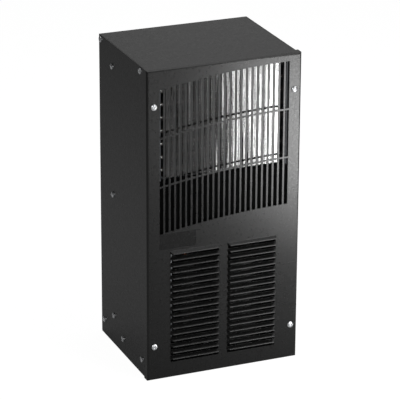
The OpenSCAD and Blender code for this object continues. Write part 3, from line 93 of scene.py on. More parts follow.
def place_node(tree, kind, wires=None, **settings):
    """A new node. A wire gives a socket its value, or joins it to another node's output."""
    node = tree.nodes.new(kind)
    for name, value in settings.items():
        setattr(node, name, value)
    for socket, value in (wires or {}).items():
        if isinstance(value, bpy.types.NodeSocket):
            tree.links.new(value, node.inputs[socket])
        else:
            node.inputs[socket].default_value = value
    return node


def reckon(tree, operation, *terms):
    """What a Math node makes of its terms, which are numbers or other nodes' outputs."""
    return place_node(tree, "ShaderNodeMath", dict(enumerate(terms)), operation=operation).outputs[0]


def vector_of(tree, *parts):
    """A vector from its x and, where they are given, its y and z."""
    return place_node(tree, "ShaderNodeCombineXYZ", dict(enumerate(parts))).outputs[0]


def parts_of(tree, vector):
    return place_node(tree, "ShaderNodeSeparateXYZ", {0: vector}).outputs


def new_tree(name, kind, inputs, outputs):
    """A node group with its named sockets. Returns the tree, the sockets of what it is given and
    of what it puts out, and the identifier of each input."""
    tree = bpy.data.node_groups.new(name, kind)
    ids = {}
    for socket_name, (socket_kind, value) in inputs.items():
        socket = tree.interface.new_socket(name=socket_name, in_out="INPUT", socket_type=socket_kind)
        if value is not None:
            socket.default_value = value
        ids[socket_name] = socket.identifier
    for socket_name, socket_kind in outputs.items():
        tree.interface.new_socket(name=socket_name, in_out="OUTPUT", socket_type=socket_kind)
    given = tree.nodes.new("NodeGroupInput").outputs
    result = tree.nodes.new("NodeGroupOutput").inputs
    return tree, given, result, ids


# Grain and cells, which the materials share

GRAIN_ROUGHNESS = 0.6
GRAIN_LOWEST, GRAIN_HIGHEST = 0.3, 0.7


def object_cells(tree, cell_size):
    """The object's own coordinates, counted in cells of the given size."""
    place = place_node(tree, "ShaderNodeTexCoord").outputs["Object"]
    per_cell = reckon(tree, "DIVIDE", 1.0, cell_size)
    counted = place_node(tree, "ShaderNodeVectorMath", {0: place, "Scale": per_cell}, operation="SCALE")
    return counted.outputs[0]


def build_grain_group():
    """Cloudy grain with cells of a given size, which Stretch draws out into streaks."""
    tree, given, result, _ = new_tree(
        "grain", "ShaderNodeTree",
        {"Cell Size": (NUMBER, 0.001), "Stretch": (VECTOR, (1, 1, 1)), "Detail": (NUMBER, 2.0),
         "Low": (NUMBER, 0.0), "High": (NUMBER, 1.0)},
        {"Value": NUMBER, "Height": NUMBER})
    cells = object_cells(tree, given["Cell Size"])
    drawn_out = place_node(tree, "ShaderNodeVectorMath", {0: cells, 1: given["Stretch"]},
                           operation="MULTIPLY")
    noise = place_node(tree, "ShaderNodeTexNoise", {
        "Vector": drawn_out.outputs[0], "Scale": 1.0, "Detail": given["Detail"],
        "Roughness": GRAIN_ROUGHNESS})
    spread = place_node(tree, "ShaderNodeMapRange", {
        "Value": noise.outputs[0], "From Min": GRAIN_LOWEST, "From Max": GRAIN_HIGHEST,
        "To Min": given["Low"], "To Max": given["High"]})
    tree.links.new(spread.outputs[0], result["Value"])
    tree.links.new(noise.outputs[0], result["Height"])
    return tree


def build_cells_group():
    """Cells with a value of their own, such as zinc spangle or the pores of foam."""
    tree, given, result, _ = new_tree(
        "cells", "ShaderNodeTree",
        {"Cell Size": (NUMBER, 0.005), "Low": (NUMBER, 0.0), "High": (NUMBER, 1.0)},
        {"Value": NUMBER, "Height": NUMBER})
    cells = place_node(tree, "ShaderNodeTexVoronoi", {
        "Vector": object_cells(tree, given["Cell Size"]), "Scale": 1.0})
    own = place_node(tree, "ShaderNodeSeparateColor", {0: cells.outputs["Color"]})
    spread = place_node(tree, "ShaderNodeMapRange", {
        "Value": own.outputs[0], "To Min": given["Low"], "To Max": given["High"]})
    tree.links.new(spread.outputs[0], result["Value"])
    tree.links.new(cells.outputs["Distance"], result["Height"])
    return tree


GRAIN = build_grain_group()
CELLS = build_cells_group()


# Materials

class Finish:
    """A material whose shader is one Principled BSDF, with grain placed round it."""

    def __init__(self, name, **values):
        self.material = bpy.data.materials.new(name)
        self.material.use_nodes = True
        self.tree = self.material.node_tree
        self.shader = self.tree.nodes["Principled BSDF"]
        for socket, value in values.items():
            self.shader.inputs[socket].default_value = value

    def group(self, tree, **values):
        """A shared group with values of its own, an underscore standing for a space."""
        wires = {key.replace("_", " "): value for key, value in values.items()}
        return place_node(self.tree, "ShaderNodeGroup", wires, node_tree=tree)

    def join(self, output, socket):
        self.tree.links.new(output, self.shader.inputs[socket])

    def colour(self, source, dark, light):
        """Base colour between dark and light, as the source's value goes from 0 to 1."""
        mix = place_node(self.tree, "ShaderNodeMix", {
            "Factor": source.outputs["Value"], "A": (*dark, 1), "B": (*light, 1)}, data_type="RGBA")
        self.join(mix.outputs["Result"], "Base Color")

    def rough(self, source):
        self.join(source.outputs["Value"], "Roughness")

    def bump(self, source, depth, strength=1.0, over=None):
        """Relief of the given depth, on top of another bump where there is one."""
        bump = place_node(self.tree, "ShaderNodeBump", {
            "Distance": depth, "Strength": strength, "Height": source.outputs["Height"]})
        if over is not None:
            self.tree.links.new(over.outputs["Normal"], bump.inputs["Normal"])
        self.join(bump.outputs["Normal"], "Normal")
        return bump


def powder_coat(name, dark, light, roughness, spread=0.05):
    """Baked paint: the wide relief of its flow, with a finer one on it."""
    finish = Finish(name, IOR=1.45)
    finish.colour(finish.group(GRAIN, Cell_Size=0.0011, Detail=3.0), dark, light)
    finish.rough(finish.group(GRAIN, Cell_Size=0.004, Detail=4.0,
                              Low=roughness - spread, High=roughness + spread))
    flow = finish.bump(finish.group(GRAIN, Cell_Size=0.0016, Detail=1.0), depth=0.00002, strength=0.6)
    finish.bump(finish.group(GRAIN, Cell_Size=0.0005, Detail=1.0), depth=0.00001, strength=0.5, over=flow)
    return finish.material


def bare_metal(name, dark, light, smoothest, roughest, cell, stretch=(1, 1, 1)):
    """Metal whose tool marks are as long as stretch draws them."""
    finish = Finish(name, Metallic=1.0)
    finish.colour(finish.group(GRAIN, Cell_Size=cell * 3, Detail=4.0), dark, light)
    marks = finish.group(GRAIN, Cell_Size=cell, Stretch=stretch, Low=smoothest, High=roughest)
    finish.rough(marks)
    finish.bump(marks, depth=0.000004)
    return finish.material


def spangled_zinc(name, dark, light, smoothest, roughest):
    """Sheet that was dipped in zinc, with the flakes that the zinc sets in."""
    finish = Finish(name, Metallic=1.0)
    finish.colour(finish.group(CELLS, Cell_Size=0.006), dark, light)
    finish.rough(finish.group(CELLS, Cell_Size=0.006, Low=smoothest, High=roughest))
    finish.bump(finish.group(GRAIN, Cell_Size=0.001), depth=0.00001)
    return finish.material


def moulded(name, dark, light, roughness, cell=0.0006, depth=0.00002, ior=1.5, spread=0.06):
    """Plastic, rubber, film or flat paint, with a fine even texture."""
    finish = Finish(name, IOR=ior)
    finish.colour(finish.group(GRAIN, Cell_Size=0.01, Detail=4.0), dark, light)
    finish.rough(finish.group(GRAIN, Cell_Size=0.003, Low=roughness - spread, High=roughness + spread))
    finish.bump(finish.group(GRAIN, Cell_Size=cell, Detail=1.0), depth)
    return finish.material


def closed_cell_foam(name, dark, light):
    finish = Finish(name, IOR=1.3)
    finish.colour(finish.group(GRAIN, Cell_Size=0.002, Detail=5.0), dark, light)
    finish.rough(finish.group(GRAIN, Cell_Size=0.002, Low=0.85, High=1.0))
    finish.bump(finish.group(CELLS, Cell_Size=0.0009), depth=0.0002, strength=0.8)
    return finish.material


# Behind a fin's front edge painted shade grows over this share of the fin's depth, and takes
# # the metal's colour down to that share of itself
FIN_SHADE_REACH = 0.03
FIN_SHADED_SHARE = 0.16


def fin_aluminium(name):
    """Rolled fin stock: bright along its front edge, and darkened between the fins by painted shade."""
    finish = Finish(name, Metallic=1.0)
    clean = finish.group(GRAIN, Cell_Size=0.02, Stretch=(2, 1, 0.6), Detail=4.0, Low=0.52, High=0.72)
    # Painted shade: the colour falls from full at the front edge to a small share of itself deeper
    # between the fins
    depth = place_node(finish.tree, "ShaderNodeAttribute", attribute_name="depth")
    painted_shade = place_node(finish.tree, "ShaderNodeMapRange", {
        "Value": depth.outputs["Fac"], "From Min": 0.0, "From Max": FIN_SHADE_REACH,
        "To Min": 1.0, "To Max": FIN_SHADED_SHARE})
    shade = reckon(finish.tree, "MULTIPLY", clean.outputs["Value"], painted_shade.outputs[0])
    finish.join(shade, "Base Color")
    finish.rough(finish.group(GRAIN, Cell_Size=0.0016, Stretch=(1, 1, 0.05), Detail=3.0,
                              Low=0.07, High=0.15))
    finish.bump(finish.group(GRAIN, Cell_Size=0.0021, Stretch=(1, 1, 0.012), Detail=1.0), depth=0.00013)
    return finish.material


MATERIALS = {
    "black_paint": powder_coat("black_powder_coat", (0.0025, 0.0025, 0.0024),
                               (0.0045, 0.0045, 0.0044), roughness=0.30),
    "label_black": moulded("blank_plate_film", (0.004, 0.004, 0.004), (0.006, 0.006, 0.006),
                           roughness=0.24, cell=0.0004, depth=0.000005, ior=1.38),
    "zinc": bare_metal("zinc_plate", (0.62, 0.63, 0.65), (0.86, 0.87, 0.88),
                       smoothest=0.22, roughest=0.36, cell=0.0006),
    "galvanised": spangled_zinc("galvanised_sheet", (0.20, 0.21, 0.22), (0.32, 0.33, 0.34),
                                smoothest=0.42, roughest=0.62),
    "steel": bare_metal("turned_steel", (0.42, 0.42, 0.43), (0.60, 0.60, 0.61),
                        smoothest=0.2, roughest=0.34, cell=0.0005, stretch=(1, 0.1, 1)),
    "iron": bare_metal("machined_iron", (0.16, 0.16, 0.165), (0.26, 0.26, 0.265),
                       smoothest=0.42, roughest=0.62, cell=0.0012),
    "aluminium": fin_aluminium("fin_aluminium"),
    "copper": bare_metal("copper_tube", (0.30, 0.13, 0.07), (0.50, 0.25, 0.15),
                         smoothest=0.30, roughest=0.50, cell=0.002),
    "black_plastic": moulded("black_plastic", (0.014, 0.014, 0.015), (0.022, 0.022, 0.023),
                             roughness=0.42),
    "black_rubber": moulded("black_rubber", (0.010, 0.010, 0.010), (0.018, 0.018, 0.018),
                            roughness=0.66, cell=0.001, depth=0.00004),
    "foam": closed_cell_foam("closed_cell_foam", (0.006, 0.006, 0.007), (0.016, 0.016, 0.017)),
    # Zinc with a rough finish, its colour taken far down as painted shade for sheet that stands in the
    # dark behind the grille
    "shade_darkened_zinc": spangled_zinc("shade_darkened_zinc", (0.05, 0.052, 0.055), (0.09, 0.093, 0.097),
                               smoothest=0.62, roughest=0.78),
    # A black baffle, its finish taken far darker and duller than paint as painted shade for the dark
    # behind the grille
    "shade_black": moulded("shade_black_finish", (0.001, 0.001, 0.001), (0.002, 0.002, 0.002),
                          roughness=0.8, ior=1.1),
}


def dress(piece, slot):
    piece.data.materials.clear()
    piece.data.materials.append(MATERIALS[slot])


SLOT_OF = {part["node"]: part["material_slot"] for part in frame["record"]["subparts"]}
BODY_OF = {name: body for body, names in frame["record"]["behaviour"]["bodies"].items() for name in names}
# Two nodes that show through the grille get finishes darker than their slot's, as painted shade for the
# dark behind it
OWN_LOOKS = {"condenser_end_plates": "shade_darkened_zinc", "air_baffle": "shade_black"}

for name, node in NODES.items():
    dress(node, OWN_LOOKS.get(name, SLOT_OF[name]))


# Making pieces

WELD_DISTANCE = 0.002 * MM
FLAT_ANGLE = math.radians(0.5)
FOLD_ANGLE = math.radians(24)


def add_piece(name, mesh):
    piece = bpy.data.objects.new(name, mesh)
    bpy.context.scene.collection.objects.link(piece)
    return piece


def grow(piece, name, tree, ids, values):
    """Puts a node tree on a piece, each of its inputs set by its identifier."""
    grown = piece.modifiers.new(name, "NODES")
    grown.node_group = tree
    for key, value in values.items():
        grown[ids[key]] = value


def shade_smooth(piece):
    for face in piece.data.polygons:
        face.use_smooth = True


def finish_piece(piece, slot, node=None):
    """Every modifier is applied, and the piece gets its material, its body and its node."""
    shape = bpy.data.meshes.new_from_object(piece.evaluated_get(bpy.context.evaluated_depsgraph_get()))
    piece.modifiers.clear()
    piece.data = shape
    shape.name = piece.name
    dress(piece, slot)
    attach(piece, BODY_OF[node] if node else "cabinet")
    if node:
        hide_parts(node)


def welded_copy(node):
    """A node's shape, with its loose triangles joined."""
    shape = bmesh.new()
    shape.from_mesh(NODES[node].data)
    bmesh.ops.remove_doubles(shape, verts=shape.verts, dist=WELD_DISTANCE)
    return shape


def edge_rounding(shape, radius_of):
    """Gives each fold the share of the largest radius that radius_of says, and returns that
    largest. A fold without a radius stays sharp."""
    layer = shape.edges.layers.float.new("bevel_weight_edge")
    radii = {}
    for edge in shape.edges:
        if edge.calc_face_angle(0) >= FOLD_ANGLE:
            radius = radius_of(edge)
            if radius > 0:
                radii[edge] = radius
            else:
                edge.smooth = False
    largest = max(radii.values())
    for edge, radius in radii.items():
        edge[layer] = radius / largest
    return largest


def formed_sheet(node, name, radius_of, slot="black_paint"):
    """A folded sheet with softened edges, in place of its node."""
    shape = welded_copy(node)
    bmesh.ops.dissolve_limit(shape, angle_limit=FLAT_ANGLE, verts=shape.verts, edges=shape.edges)
    largest = edge_rounding(shape, radius_of)
    for face in shape.faces:
        face.smooth = True
    mesh = bpy.data.meshes.new(name)
    shape.to_mesh(mesh)
    shape.free()
    piece = add_piece(name, mesh)
    bevel = piece.modifiers.new("softened edges", "BEVEL")
    bevel.limit_method = "WEIGHT"
    bevel.width = largest
    bevel.segments = 2
    bevel.use_clamp_overlap = False
    shading = piece.modifiers.new("flat faces stay flat", "WEIGHTED_NORMAL")
    shading.keep_sharp = True
    shading.weight = 100
    finish_piece(piece, slot, node)


# The cabinet's sheets

LOUVRES_STAND_OUT = 5.5 * MM
PANEL_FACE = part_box("front_panel")[0].y + LOUVRES_STAND_OUT
LOUVRES_BOTTOM, LOUVRES_TOP = 24 * MM, 212 * MM
LIP_FROM = 0.3 * MM
INNER_EDGES_FROM, INNER_EDGES_TO = 0.1 * MM, 1.2 * MM
LIP_RADIUS = 0.5 * MM
LOUVRE_ROOT_RADIUS = 0.04 * MM
PANEL_RADIUS = 0.22 * MM
SHEET_RADIUS = 0.25 * MM
PLATE_RADIUS = 0.12 * MM


def front_panel_radius(edge):
    """Large on a louvre's lip, small where the louvres leave the panel's face, and none on the
    edges inside the thickness of the sheet."""
    middle = (edge.verts[0].co + edge.verts[1].co) / 2
    behind_face = middle.y - PANEL_FACE
    if behind_face < -LIP_FROM:
        return LIP_RADIUS
    if abs(behind_face) < INNER_EDGES_FROM and LOUVRES_BOTTOM < middle.z < LOUVRES_TOP:
        return LOUVRE_ROOT_RADIUS
    if INNER_EDGES_FROM < behind_face < INNER_EDGES_TO:
        return 0
    return PANEL_RADIUS


formed_sheet("front_panel", "front_panel_sheet", front_panel_radius)
for part in ("left_side_panel", "right_side_panel", "top_panel", "base_pan", "back_plate"):
    formed_sheet(part, part + "_sheet", lambda edge: SHEET_RADIUS)
formed_sheet("label_plate", "blank_plate", lambda edge: PLATE_RADIUS, "label_black")


# Coil fins, at the close pitch of a real coil. A fin is a grid of rows and levels of points

FIN_PITCH = 1.8 * MM
FIN_THICKNESS = 0.3 * MM
FIN_ROWS = 8
FIN_LEVELS = 42
ROWS_POWER = 2.2
FRONT_ROW_SHARE = 0.07
WAVE_STEP = 0.35
COMB_STEP = 2.6
COMB_SCALE = 70.0


def one_after_another(tree, count, pitch, first=(0, 0, 0)):
    """Points along x, the pitch apart."""
    row = place_node(tree, "GeometryNodeMeshLine", {
        "Count": count, "Start Location": first, "Offset": vector_of(tree, pitch)})
    return row.outputs[0]


def stand_on(tree, points, shape, **more):
    """A real copy of the shape on every point."""
    wires = {"Points": points, "Instance": shape, **more}
    stand = place_node(tree, "GeometryNodeInstanceOnPoints", wires)
    return place_node(tree, "GeometryNodeRealizeInstances", {0: stand.outputs[0]}).outputs[0]


def put_out(tree, geometry, metal, result):
    paint = place_node(tree, "GeometryNodeSetMaterial", {"Geometry": geometry, "Material": metal})
    tree.links.new(paint.outputs[0], result[0])


def centred_noise(tree, place, phase, scale, detail):
    """Noise about zero, which the phase makes anew for each fin."""
    noise = place_node(tree, "ShaderNodeTexNoise", {
        "Vector": place, "W": phase, "Scale": scale, "Detail": detail}, noise_dimensions="4D")
    return reckon(tree, "SUBTRACT", noise.outputs[0], 0.5)


def front_reach(tree, given, place):
    """Draws a fin's rows of points together towards its front, where the edge is bent. Returns
    how far a row moves, 1 for the front row and else 0, and the share of the fin's depth that
    the row then stands behind the front."""
    depth = parts_of(tree, given["Size"])[1]
    from_front = reckon(tree, "SUBTRACT", parts_of(tree, place)[1], given["Front"])
    share = reckon(tree, "DIVIDE", reckon(tree, "ABSOLUTE", from_front), depth)
    drawn = reckon(tree, "POWER", share, ROWS_POWER)
    change = reckon(tree, "SUBTRACT", drawn, share)
    signed = reckon(tree, "MULTIPLY", change, reckon(tree, "SIGN", from_front))
    shift = reckon(tree, "MULTIPLY", signed, depth)
    front_row = reckon(tree, "LESS_THAN", share, FRONT_ROW_SHARE)
    return shift, front_row, drawn


def build_fin_stack_tree():
    """Thin fins side by side along x, each with a small wave and a combed front edge of its own."""
    tree, given, result, ids = new_tree(
        "fin_stack", "GeometryNodeTree",
        {"Geometry": (GEOMETRY, None), "Fins": (COUNT, 10), "First": (VECTOR, None),
         "Pitch": (NUMBER, 0.0018), "Size": (VECTOR, None), "Front": (NUMBER, 0.0),
         "Front Bend": (NUMBER, 0.0005), "Wave": (NUMBER, 0.0003), "Wave Length": (NUMBER, 0.03),
         "Seed": (COUNT, 7), "Metal": (METAL, None)},
        {"Geometry": GEOMETRY})
    fin = place_node(tree, "GeometryNodeMeshCube", {
        "Size": given["Size"], "Vertices X": 2, "Vertices Y": FIN_ROWS, "Vertices Z": FIN_LEVELS})
    row = one_after_another(tree, given["Fins"], given["Pitch"], given["First"])
    fins = stand_on(tree, row, fin.outputs["Mesh"])
    index = place_node(tree, "GeometryNodeInputIndex").outputs[0]
    size = place_node(tree, "GeometryNodeAttributeDomainSize", {0: fin.outputs["Mesh"]})
    number = reckon(tree, "FLOOR", reckon(tree, "DIVIDE", index, size.outputs["Point Count"]))
    place = place_node(tree, "GeometryNodeInputPosition").outputs[0]

    wave_size = vector_of(tree, 1.0, given["Wave Length"], given["Wave Length"])
    waves = place_node(tree, "ShaderNodeVectorMath", {0: place, 1: wave_size}, operation="DIVIDE")
    phase = reckon(tree, "MULTIPLY_ADD", number, WAVE_STEP, given["Seed"])
    ripple = centred_noise(tree, waves.outputs[0], phase, scale=1.0, detail=1.0)
    wave = reckon(tree, "MULTIPLY", ripple, given["Wave"])

    forward, front_row, depth = front_reach(tree, given, place)
    comb_phase = reckon(tree, "MULTIPLY", number, COMB_STEP)
    comb = centred_noise(tree, place, comb_phase, scale=COMB_SCALE, detail=2.0)
    bend = reckon(tree, "MULTIPLY", reckon(tree, "MULTIPLY", comb, given["Front Bend"]), front_row)

    marked = place_node(tree, "GeometryNodeStoreNamedAttribute", {
        "Geometry": fins, "Name": "depth", "Value": depth}, data_type="FLOAT", domain="POINT")
    formed = place_node(tree, "GeometryNodeSetPosition", {
        "Geometry": marked.outputs[0],
        "Offset": vector_of(tree, reckon(tree, "ADD", wave, bend), forward)})
    put_out(tree, formed.outputs[0], given["Metal"], result)
    return tree, ids


FIN_STACK = build_fin_stack_tree()


def coil_fins(node, name, seed, front_is_low):
    """Fins in place of a node, with their combed edges at its low or its high y."""
    low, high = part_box(node)
    count = int((high.x - low.x) / FIN_PITCH) + 1
    first = (low.x + high.x) / 2 - (count - 1) / 2 * FIN_PITCH
    middle = (low + high) / 2
    piece = add_piece(name, bpy.data.meshes.new(name))
    grow(piece, "fins", *FIN_STACK, {
        "Fins": count, "First": (first, middle.y, middle.z), "Pitch": FIN_PITCH,
        "Size": (FIN_THICKNESS, high.y - low.y, high.z - low.z),
        "Front": low.y if front_is_low else high.y, "Front Bend": 0.8 * MM,
        "Wave": 0.35 * MM, "Wave Length": 28 * MM, "Seed": seed, "Metal": MATERIALS["aluminium"]})
    finish_piece(piece, "aluminium", node)


coil_fins("condenser_fins", "condenser_fin_pack", seed=3, front_is_low=True)
coil_fins("evaporator_fins", "evaporator_fin_pack", seed=11, front_is_low=False)


# The fins' collars, which cover the tubes between them

TUBE_LEVELS = 8
TUBE_ROWS = (0.25, 0.75)
TUBE_RADIUS = 4 * MM
COLLAR_WALL = 0.3 * MM
COLLAR_SIDES = 20
PLATES_TAKE = 3 * MM


def build_collar_tree():
    """A row of thin collars along x from every point, one in each gap between two fins."""
    tree, given, result, ids = new_tree(
        "collar_rows", "GeometryNodeTree",
        {"Geometry": (GEOMETRY, None), "Collars": (COUNT, 10), "Pitch": (NUMBER, 0.0018),
         "Radius": (NUMBER, 0.0043), "Length": (NUMBER, 0.0014), "Metal": (METAL, None)},
        {"Geometry": GEOMETRY})
    points = stand_on(tree, given["Geometry"], one_after_another(tree, given["Collars"], given["Pitch"]))
    collar = place_node(tree, "GeometryNodeMeshCylinder", {
        "Vertices": COLLAR_SIDES, "Radius": given["Radius"], "Depth": given["Length"]}, fill_type="NONE")
    collars = stand_on(tree, points, collar.outputs["Mesh"], Rotation=(0, math.pi / 2, 0))
    put_out(tree, collars, given["Metal"], result)
    return tree, ids


COLLAR_ROWS = build_collar_tree()


def tube_collars(node, plates, name):
    """Collars on all the tubes of a coil, from one end plate to the other."""
    low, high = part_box(node)
    plate_low, plate_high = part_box(plates)
    count = int((plate_high.x - plate_low.x - PLATES_TAKE) / FIN_PITCH)
    first = (low.x + high.x) / 2 - (count - 1) / 2 * FIN_PITCH
    level = (high.z - low.z) / TUBE_LEVELS
    starts = [(first, low.y + (high.y - low.y) * share, low.z + level * (step + 0.5))
              for share in TUBE_ROWS for step in range(TUBE_LEVELS)]
    mesh = bpy.data.meshes.new(name)
    mesh.from_pydata(starts, [], [])
    piece = add_piece(name, mesh)
    grow(piece, "collars", *COLLAR_ROWS, {
        "Collars": count, "Pitch": FIN_PITCH, "Radius": TUBE_RADIUS + COLLAR_WALL,
        "Length": FIN_PITCH - FIN_THICKNESS / 2, "Metal": MATERIALS["aluminium"]})
    finish_piece(piece, "aluminium")
    shade_smooth(piece)


tube_collars("condenser_fins", "condenser_end_plates", "condenser_collars")
tube_collars("evaporator_fins", "evaporator_end_plates", "evaporator_collars")


# Screws

HEAD_SIDES, HEAD_RINGS = 56, 18
SHANK_SIDES = 24
DOME_POWER = 2.6
TOP_ABOVE = 0.45
RECESS_SLOPE = 0.22 * MM
RECESS_RISE = 0.8
CREASE_ANGLE = math.radians(50)


def build_head(tree, given):
    """A domed head that stands on its seat, with a cross recess that is deepest in the middle."""

    def inside(value, limit):
        """1 inside the limit and 0 outside it, with the recess's slope between."""
        node = place_node(tree, "ShaderNodeMapRange", {
            "Value": value, "From Min": reckon(tree, "SUBTRACT", limit, RECESS_SLOPE),
            "From Max": reckon(tree, "ADD", limit, RECESS_SLOPE), "To Min": 1.0, "To Max": 0.0},
            interpolation_type="SMOOTHSTEP")
        return node.outputs[0]

    head = place_node(tree, "GeometryNodeMeshCylinder", {
        "Vertices": HEAD_SIDES, "Side Segments": 2, "Fill Segments": HEAD_RINGS,
        "Radius": given["Head Radius"], "Depth": given["Head Height"]}, fill_type="TRIANGLE_FAN")
    x, y, z = parts_of(tree, place_node(tree, "GeometryNodeInputPosition").outputs[0])
    across, along = reckon(tree, "ABSOLUTE", x), reckon(tree, "ABSOLUTE", y)
    half_length = reckon(tree, "MULTIPLY", given["Recess Length"], 0.5)
    half_width = reckon(tree, "MULTIPLY", given["Recess Width"], 0.5)
    one = reckon(tree, "MULTIPLY", inside(across, half_width), inside(along, half_length))
    other = reckon(tree, "MULTIPLY", inside(along, half_width), inside(across, half_length))
    cross = reckon(tree, "MAXIMUM", one, other)
    squares = reckon(tree, "ADD", reckon(tree, "MULTIPLY", x, x), reckon(tree, "MULTIPLY", y, y))
    share = reckon(tree, "DIVIDE", reckon(tree, "SQRT", squares), given["Head Radius"])
    fall = reckon(tree, "MULTIPLY", reckon(tree, "POWER", share, DOME_POWER), given["Dome"])
    shallow = reckon(tree, "SUBTRACT", 1.0, reckon(tree, "MULTIPLY", share, RECESS_RISE))
    recess = reckon(tree, "MULTIPLY", reckon(tree, "MULTIPLY", cross, given["Recess Depth"]), shallow)
    down = reckon(tree, "MULTIPLY", reckon(tree, "ADD", fall, recess), -1.0)
    top = reckon(tree, "GREATER_THAN", z, reckon(tree, "MULTIPLY", given["Head Height"], TOP_ABOVE))
    middle = reckon(tree, "MULTIPLY", given["Head Height"], 0.5)
    lift = reckon(tree, "ADD", reckon(tree, "MULTIPLY", down, top), middle)
    return place_node(tree, "GeometryNodeSetPosition", {
        "Geometry": head.outputs["Mesh"], "Offset": vector_of(tree, 0.0, 0.0, lift)})


def build_shank(tree, given):
    shank = place_node(tree, "GeometryNodeMeshCylinder", {
        "Vertices": SHANK_SIDES, "Radius": given["Shank Radius"], "Depth": given["Shank Length"]})
    lower = reckon(tree, "MULTIPLY", given["Shank Length"], -0.5)
    return place_node(tree, "GeometryNodeSetPosition", {
        "Geometry": shank.outputs["Mesh"], "Offset": vector_of(tree, 0.0, 0.0, lower)})


def build_screw_tree():
    """A screw on every point, facing as the point says, its recess turned by chance."""
    tree, given, result, ids = new_tree(
        "headed_screws", "GeometryNodeTree",
        {"Geometry": (GEOMETRY, None), "Head Radius": (NUMBER, 0.0048), "Head Height": (NUMBER, 0.0029),
         "Dome": (NUMBER, 0.001), "Recess Length": (NUMBER, 0.0046), "Recess Width": (NUMBER, 0.001),
         "Recess Depth": (NUMBER, 0.0015), "Shank Radius": (NUMBER, 0.0024),
         "Shank Length": (NUMBER, 0.009), "Seed": (COUNT, 5), "Metal": (METAL, None)},
        {"Geometry": GEOMETRY})
    whole = place_node(tree, "GeometryNodeJoinGeometry")
    for part in (build_shank(tree, given), build_head(tree, given)):
        tree.links.new(part.outputs[0], whole.inputs[0])
    facing = place_node(tree, "GeometryNodeInputNamedAttribute", {"Name": "facing"},
                        data_type="FLOAT_VECTOR")
    aim = place_node(tree, "FunctionNodeAlignRotationToVector", {"Vector": facing.outputs[0]}, axis="Z")
    # Sockets 2 and 3 hold the least and the most of a single random number, and output 1 gives it
    chance = place_node(tree, "FunctionNodeRandomValue", {
        2: 0.0, 3: math.pi / 2, "Seed": given["Seed"]}, data_type="FLOAT")
    turn = place_node(tree, "FunctionNodeAxisAngleToRotation", {"Angle": chance.outputs[1]})
    turned = place_node(tree, "FunctionNodeRotateRotation", {0: aim.outputs[0], 1: turn.outputs[0]},
                        rotation_space="LOCAL")
    screws = stand_on(tree, given["Geometry"], whole.outputs[0], Rotation=turned.outputs[0])
    put_out(tree, screws, given["Metal"], result)
    return tree, ids


SCREWS = build_screw_tree()


def separate_boxes(node):
    """The corners of the box round each separate solid of a node, in the order of their places."""
    shape = welded_copy(node)
    left = set(shape.verts)
    boxes = []
    while left:
        waiting = [left.pop()]
        places = []
        while waiting:
            vertex = waiting.pop()
            places.append(vertex.co.copy())
            for edge in vertex.link_edges:
                other = edge.other_vert(vertex)
                if other in left:
                    left.remove(other)
                    waiting.append(other)
        low = Vector([min(place[i] for place in places) for i in range(3)])
        high = Vector([max(place[i] for place in places) for i in range(3)])
        boxes.append((low, high))
    shape.free()
    return sorted(boxes, key=lambda box: tuple(box[0]))


def headed_screws(node, name, facing_of, sizes):
    """Screws in place of a node. A seat is the middle of a head's underside."""
    seats, facings = [], []
    for low, high in separate_boxes(node):
        middle = (low + high) / 2
        facing = facing_of(middle)
        tip = Vector([high[i] if facing[i] > 0 else low[i] for i in range(3)])
        seats.append([tip[i] - facing[i] * sizes["Head Height"] if facing[i] else middle[i]
                      for i in range(3)])
        facings.append(facing)
    mesh = bpy.data.meshes.new(name)
    mesh.from_pydata(seats, [], [])
    marks = mesh.attributes.new("facing", "FLOAT_VECTOR", "POINT")
    for mark, facing in zip(marks.data, facings):
        mark.vector = facing
    piece = add_piece(name, mesh)
    grow(piece, "screws", *SCREWS, {**sizes, "Metal": MATERIALS["zinc"]})
    finish_piece(piece, "zinc", node)
    shade_smooth(piece)
    piece.data.set_sharp_from_angle(angle=CREASE_ANGLE)


CASE_SCREW = {"Head Radius": 4.8 * MM, "Head Height": 2.9 * MM, "Dome": 1.5 * MM,
              "Recess Length": 5.0 * MM, "Recess Width": 1.15 * MM, "Recess Depth": 1.9 * MM,
              "Shank Radius": 2.4 * MM}
FAN_SCREW = {"Head Radius": 3.8 * MM, "Head Height": 2 * MM, "Dome": 0.9 * MM,
             "Recess Length": 4.0 * MM, "Recess Width": 0.9 * MM, "Recess Depth": 1.3 * MM,
             "Shank Radius": 2 * MM}

headed_screws("front_panel_screws", "front_screws", lambda middle: Vector((0, -1, 0)),
              {**CASE_SCREW, "Shank Length": 9 * MM, "Seed": 4})
headed_screws("side_screws", "case_screws", lambda middle: Vector((math.copysign(1, middle.x), 0, 0)),
              {**CASE_SCREW, "Shank Length": 7.2 * MM, "Seed": 9})
headed_screws("enclosure_fan_screws", "fan_screws", lambda middle: Vector((0, 1, 0)),
              {**FAN_SCREW, "Shank Length": 15.2 * MM, "Seed": 2})


# Floor, background and light

FLOOR_HALF_WIDTH = 8.0
FLOOR_SHADE = 0.45
FLOOR_GLOW = 0.97
SHADOW_SHADE = 0.1
MIRRORED_SHARE = 0.1
WORLD_LEVEL = 0.05


def grey(level):
    return (level, level, level, 1)


def seen_directly(tree, path):
    """1 for a ray from the camera, also past glass, and else 0."""
    return reckon(tree, "MAXIMUM", path["Is Camera Ray"], path["Is Transmission Ray"])


